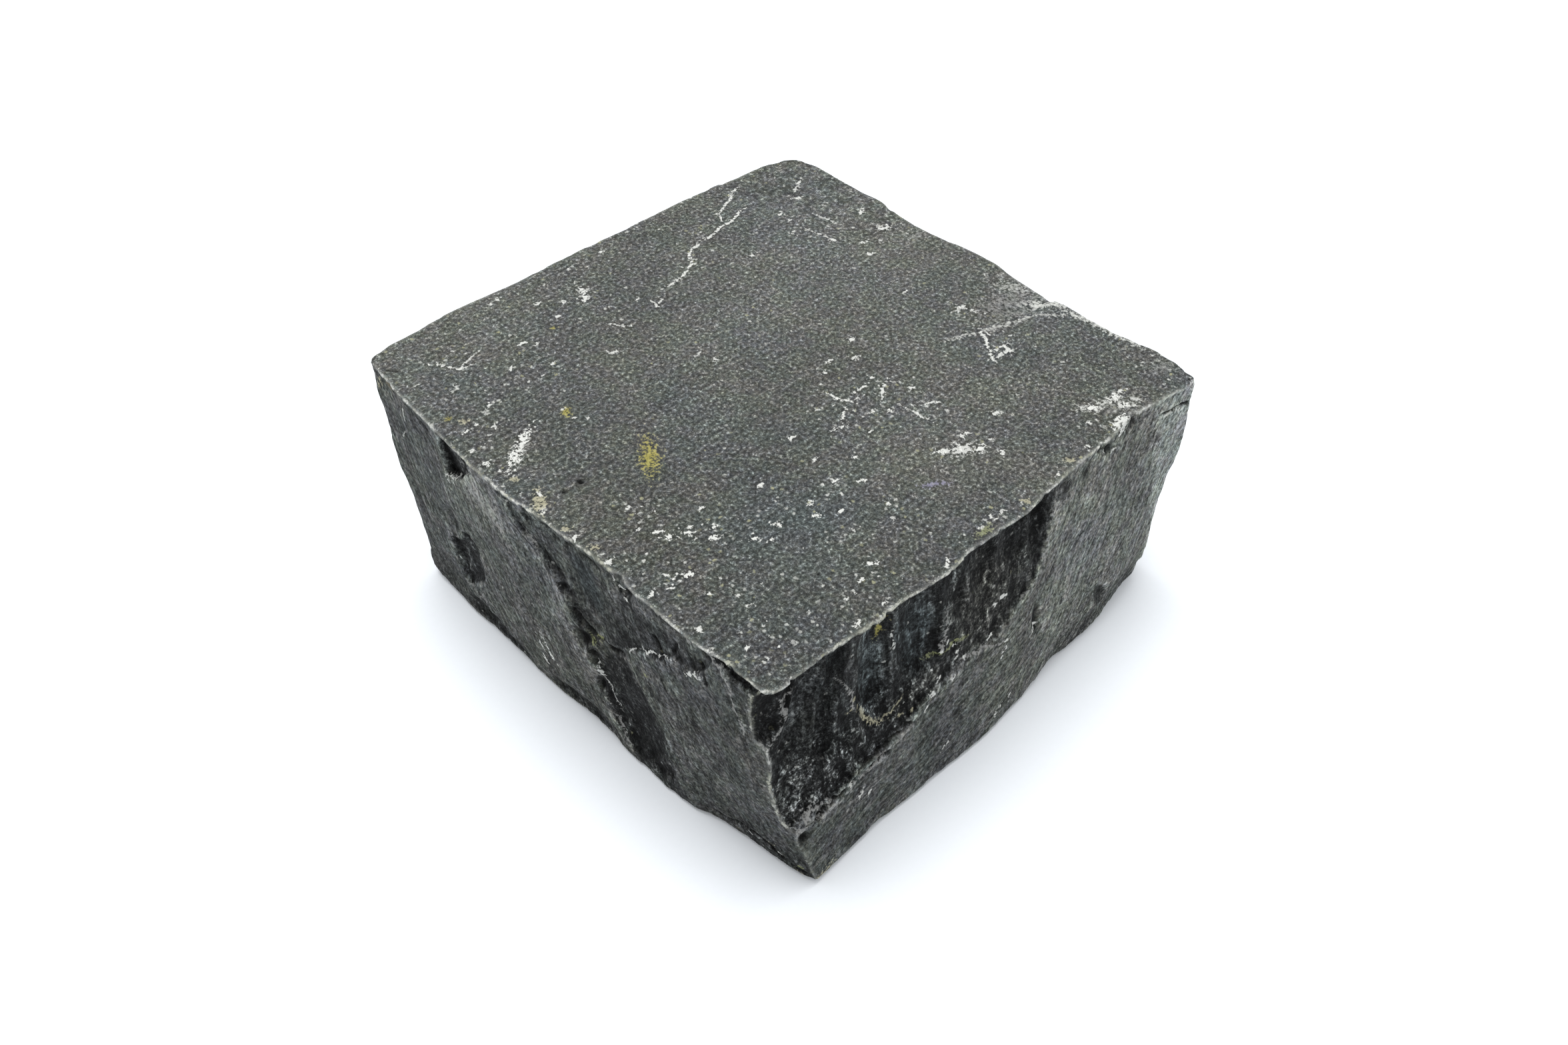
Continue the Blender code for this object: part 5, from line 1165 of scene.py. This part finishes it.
def stone_look():
    material = bpy.data.materials.new("bluestone")
    material.use_nodes = True
    tree = material.node_tree
    shader = tree.nodes["Principled BSDF"]
    n = Nodes(tree)
    where = n.add("ShaderNodeTexCoord").outputs["Object"]
    mm = n.add("ShaderNodeMapping", {"Vector": where, "Scale": (1000.0, 1000.0, 1000.0)}).outputs[0]
    split = n.add("ShaderNodeAttribute", attribute_name="grain_place").outputs["Vector"]
    to_arris, rim = n.attribute("to_arris"), n.attribute("rim")
    fresh_and_shade, crevice_shade = n.attribute("fresh_and_shade"), n.attribute("crevice_shade")
    tone, hollow_shade, side = n.attribute("tone"), n.attribute("hollow_shade"), n.attribute("side_face")
    grit, dust, cool = n.attribute("grit"), n.attribute("dust"), n.attribute("cool")

    def centred(value, gain):
        return n.math("MULTIPLY", n.math("SUBTRACT", value, 0.5), gain)

    grain = centred(n.noise(mm, 1.50, 3.0, 0.78), 7.5)
    streak_fac = n.noise(split, 0.95, 3.0, 0.74)
    streak = centred(streak_fac, 7.5)
    ragged_fac = n.noise(mm, 1.5, 3.0, 0.72)
    mottle = centred(n.noise(mm, 0.30, 3.0, 0.6), 7.0)
    blotch = centred(n.noise(split, 0.50, 3.0, 0.65), 7.0)
    wide = n.noise(mm, 0.045, 2.0, 0.5)
    drift = centred(n.noise(mm, 0.09, 2.0, 0.5), 6.0)

    # how light: worked out as a logarithm. The grain is the stone's own speckle and, as the bump uses the same noise,
    # also painted shade in its low spots
    mixed = n.math("ADD", n.math("MULTIPLY", grain, 0.84), n.math("MULTIPLY", streak, 0.54))
    rough_side = n.add("ShaderNodeMix", {0: side, 2: grain, 3: mixed}).outputs[0]
    lean = n.math("ADD", n.math("MULTIPLY_ADD", side, -0.34, 0.20), n.math("MULTIPLY", grit, 0.12))
    square = n.math("SUBTRACT", n.math("MINIMUM", n.math("MULTIPLY", rough_side, rough_side), 5.0), 1.0)
    uneven = n.math("ADD", rough_side, n.math("MULTIPLY", square, lean))
    amount = n.math("ADD", n.math("MULTIPLY_ADD", side, 0.05, 0.93), n.math("MULTIPLY", grit, 0.60))
    amount = n.math("ADD", amount, n.math("MULTIPLY", fresh_and_shade, 0.42))
    light = n.math("MULTIPLY_ADD", side, -0.31, -2.24)
    light = n.math("ADD", light, n.math("MULTIPLY", uneven, amount))
    # painted shade in the low pits of the side grain
    pit_shade = n.math("MULTIPLY", n.ramp(streak_fac, 0.44, 0.30), n.math("MULTIPLY_ADD", fresh_and_shade, 0.55, 0.40))
    light = n.math("SUBTRACT", light, n.math("MULTIPLY", pit_shade, side))
    light = n.math("ADD", light, tone)
    light = n.math("ADD", light, n.math("MULTIPLY", mottle, n.math("MULTIPLY_ADD", side, 0.0, 0.11)))
    light = n.math("ADD", light, n.math("MULTIPLY", blotch, n.math("MULTIPLY", side, n.math("MULTIPLY_ADD", fresh_and_shade, 0.30, 0.06))))
    light = n.math("ADD", light, n.math("MULTIPLY", drift, 0.07))
    # darker where fresh: the stone's own colour, and painted shade in the undercuts
    light = n.math("SUBTRACT", light, n.math("MULTIPLY", fresh_and_shade, 1.42))
    vein = n.math("ABSOLUTE", n.math("SUBTRACT", n.noise(split, 0.42, 2.0, 0.5), 0.5))
    vein = n.math("MULTIPLY", n.ramp(vein, 0.030, 0.006), n.ramp(n.noise(mm, 0.22, 2.0, 0.5), 0.48, 0.62))
    light = n.math("SUBTRACT", light, n.math("MULTIPLY", n.math("MULTIPLY", vein, side), n.math("MULTIPLY_ADD", fresh_and_shade, 1.3, 0.25)))
    # painted shade in hollows
    light = n.math("SUBTRACT", light, hollow_shade)
    light = n.math("MINIMUM", n.math("EXPONENT", light), 0.55)

    # how it is tinted
    blue, olive = (0.940, 1.0, 0.985, 1), (0.970, 1.01, 0.930, 1)
    tint = n.mix(n.ramp(wide, 0.36, 0.62), blue, olive)
    spotty = n.mix(n.ramp(n.noise(mm, 0.9, 3.0, 0.7), 0.36, 0.64), (0.97, 1.0, 1.04, 1), (1.03, 1.0, 0.94, 1))
    patchy = n.mix(n.ramp(n.noise(mm, 0.22, 2.0, 0.6), 0.40, 0.60), (1.02, 0.985, 1.03, 1), (0.975, 1.015, 0.97, 1))
    tint = n.mix(1.0, tint, patchy, "MULTIPLY")
    tint = n.mix(1.0, tint, spotty, "MULTIPLY")
    tint = n.mix(n.math("MULTIPLY", fresh_and_shade, 0.6), tint, (0.93, 1.0, 1.02, 1))
    tint = n.mix(n.math("MULTIPLY", cool, 0.8, clamp=True), tint, (0.80, 1.0, 1.05, 1))
    tint = n.mix(n.math("MULTIPLY", cool, -0.8, clamp=True), tint, (1.02, 1.0, 0.86, 1))
    grey = n.add("ShaderNodeCombineColor", (light, light, light)).outputs[0]
    colour = n.mix(1.0, grey, tint, "MULTIPLY")

    # loose pale crumbs
    crumbs = n.add("ShaderNodeVectorMath", {0: mm, 1: n.add("ShaderNodeVectorMath", {0: n.add("ShaderNodeTexNoise", {"Vector": mm, "Scale": 1.6, "Detail": 2.0}).outputs["Color"], 1: (0.9, 0.9, 0.9)}, operation="MULTIPLY").outputs[0]}, operation="ADD").outputs[0]
    flecks = n.add("ShaderNodeTexVoronoi", {"Vector": crumbs, "Scale": 1.15, "Randomness": 1.0})
    chance = n.add("ShaderNodeSeparateColor", (flecks.outputs["Color"],)).outputs
    few = n.math("ADD", 0.975, centred(n.noise(mm, 0.10, 2.0, 0.5), -0.26))
    few = n.math("SUBTRACT", few, n.math("MULTIPLY", dust, 0.26))
    fleck = n.math("MULTIPLY", n.ramp(flecks.outputs["Distance"], 0.46, 0.20), n.math("GREATER_THAN", chance[0], few))
    fleck = n.math("MULTIPLY", fleck, n.math("MULTIPLY_ADD", chance[1], 0.65, 0.25))
    fleck = n.math("MULTIPLY", fleck, n.math("MULTIPLY_ADD", side, -0.45, 1.0))
    chalk = n.mix(n.math("GREATER_THAN", chance[2], 0.82), (0.50, 0.51, 0.48, 1), (0.32, 0.32, 0.21, 1))
    colour = n.mix(fleck, colour, chalk)

    # crushed arrises
    gap = n.math("ADD", to_arris, centred(ragged_fac, 2.8))
    pale = n.ramp(gap, 0.54, 0.0)
    pale = n.math("MULTIPLY", pale, n.ramp(n.noise(mm, 0.33, 3.0, 0.6), 0.38, 0.58, to=(0.25, 1.0)))
    pale = n.math("MULTIPLY", pale, n.ramp(n.noise(mm, 1.1, 2.0, 0.6), 0.36, 0.56, to=(0.4, 1.0)))
    pale = n.math("MULTIPLY", pale, rim)
    beige = n.mix(n.ramp(n.noise(mm, 0.16, 3.0, 0.6), 0.42, 0.62), (0.66, 0.67, 0.64, 1), (0.48, 0.49, 0.41, 1))
    worn_light = n.math("EXPONENT", n.math("MULTIPLY", grain, 0.30))
    beige = n.mix(1.0, beige, n.add("ShaderNodeCombineColor", (worn_light, worn_light, worn_light)).outputs[0], "MULTIPLY")
    colour = n.mix(pale, colour, beige)

    # painted shade: crevices drawn black, then the marks, whose black kind is painted shade too
    colour = n.mix(crevice_shade, colour, (0.004, 0.004, 0.004, 1))
    edge = n.math("ADD", centred(ragged_fac, 5.0), n.math("MULTIPLY", grain, 0.22))
    for letter in "ba":
        at = n.add("ShaderNodeAttribute", attribute_name=f"mark_{letter}_place").outputs["Vector"]
        paint = n.add("ShaderNodeAttribute", attribute_name=f"mark_{letter}_tint")
        across = n.add("ShaderNodeVectorMath", {0: at, 1: (1.0, 1.0, 0.0)}, operation="MULTIPLY").outputs[0]
        far = n.add("ShaderNodeVectorMath", {0: across}, operation="LENGTH").outputs["Value"]
        soft = n.add("ShaderNodeSeparateXYZ", (at,)).outputs[2]
        inside = n.math("ADD", n.math("SUBTRACT", 0.95, far), edge)
        low, high = n.math("MULTIPLY_ADD", soft, -0.40, 0.0), n.math("MULTIPLY_ADD", soft, 0.70, 0.40)
        mask = n.add("ShaderNodeMapRange", {"Value": inside, "From Min": low, "From Max": high}, interpolation_type="SMOOTHSTEP", clamp=True).outputs["Result"]
        mask = n.math("MULTIPLY", mask, paint.outputs["Alpha"])
        colour = n.mix(mask, colour, paint.outputs["Color"])
    tree.links.new(colour, shader.inputs["Base Color"])

    shader.inputs["Specular IOR Level"].default_value = 0.06
    rough = n.math("ADD", 0.70, n.math("MULTIPLY", grain, -0.05))
    rough = n.math("SUBTRACT", rough, n.math("MULTIPLY", fresh_and_shade, 0.14), clamp=True)
    tree.links.new(rough, shader.inputs["Roughness"])

    height = n.math("ADD", n.math("MULTIPLY", rough_side, n.math("MULTIPLY_ADD", side, 0.03, 0.05)), n.math("MULTIPLY", n.noise(mm, 4.5, 2.0, 0.6), 0.12))
    bump = n.add("ShaderNodeBump", {"Strength": 1.0, "Distance": 0.001, "Height": height})
    tree.links.new(bump.outputs[0], shader.inputs["Normal"])
    material.diffuse_color = (0.09, 0.092, 0.088, 1)
    return material


stone.data.materials.clear()
stone.data.materials.append(stone_look())


# --------------------------------------------------------------- floor, lights
def floor_look():
    material = bpy.data.materials.new("paper")
    material.use_nodes = True
    tree = material.node_tree
    shader = tree.nodes["Principled BSDF"]
    n = Nodes(tree)
    place = n.add("ShaderNodeTexCoord").outputs["Object"]
    soft = n.noise(place, 900.0, 2.0, 0.5)
    colour = n.mix(soft, (0.865, 0.900, 0.940, 1), (0.885, 0.920, 0.960, 1))
    tree.links.new(colour, shader.inputs["Base Color"])
    shader.inputs["Roughness"].default_value = 0.9
    shader.inputs["Specular IOR Level"].default_value = 0.1
    return material


floor_mesh = bpy.data.meshes.new("floor")
r = 3.0
floor_mesh.from_pydata([(-r, -r, 0), (r, -r, 0), (r, r, 0), (-r, r, 0)], [], [(0, 1, 2, 3)])
floor = bpy.data.objects.new("floor", floor_mesh)
floor.location.z = -0.00005
bpy.context.scene.collection.objects.link(floor)
floor_mesh.materials.append(floor_look())

world = bpy.data.worlds.new("studio")
bpy.context.scene.world = world
world.use_nodes = True
world.node_tree.nodes["Background"].inputs[0].default_value = (1.0, 1.0, 1.0, 1)
world.node_tree.nodes["Background"].inputs[1].default_value = 0.95


def lamp(name, place, target, size, power, colour=(1, 1, 1)):
    data = bpy.data.lights.new(name, "AREA")
    data.shape = "RECTANGLE"
    data.size, data.size_y = size
    data.energy = power
    data.color = colour
    ob = bpy.data.objects.new(name, data)
    ob.location = place
    ob.rotation_mode = "QUATERNION"
    ob.rotation_quaternion = (Vector(target) - Vector(place)).to_track_quat("-Z", "Y")
    bpy.context.scene.collection.objects.link(ob)
    return ob


lamp("soft_top", (-0.08, 0.20, 1.40), (0, 0, 0.02), (0.8, 0.8), 13.0)

# ---------------------------------------------------------------------- camera
camera_data = bpy.data.cameras.new("camera")
camera = bpy.data.objects.new("camera", camera_data)
bpy.context.scene.collection.objects.link(camera)
right = Vector((0.7046, -0.7086, 0.0381))
up = Vector((0.4734, 0.5093, 0.7187))
back = Vector((-0.5287, -0.4883, 0.6943))
turn = Matrix((right, up, back)).transposed().to_4x4()
where = to_frame(np.array([-141.98, -134.10, 201.86]))
camera.matrix_world = Matrix.Translation(Vector(where)) @ turn
camera_data.sensor_fit = "HORIZONTAL"
camera_data.sensor_width = 36.0
camera_data.lens = 2153.6 / 2352 * 36.0
camera_data.clip_start, camera_data.clip_end = 0.01, 20.0
bpy.context.scene.camera = camera

bpy.context.scene.view_settings.view_transform = "Standard"
bpy.context.scene.view_settings.look = "None"
bpy.context.scene.view_settings.exposure = 0.0
bpy.context.scene.view_settings.gamma = 1.0
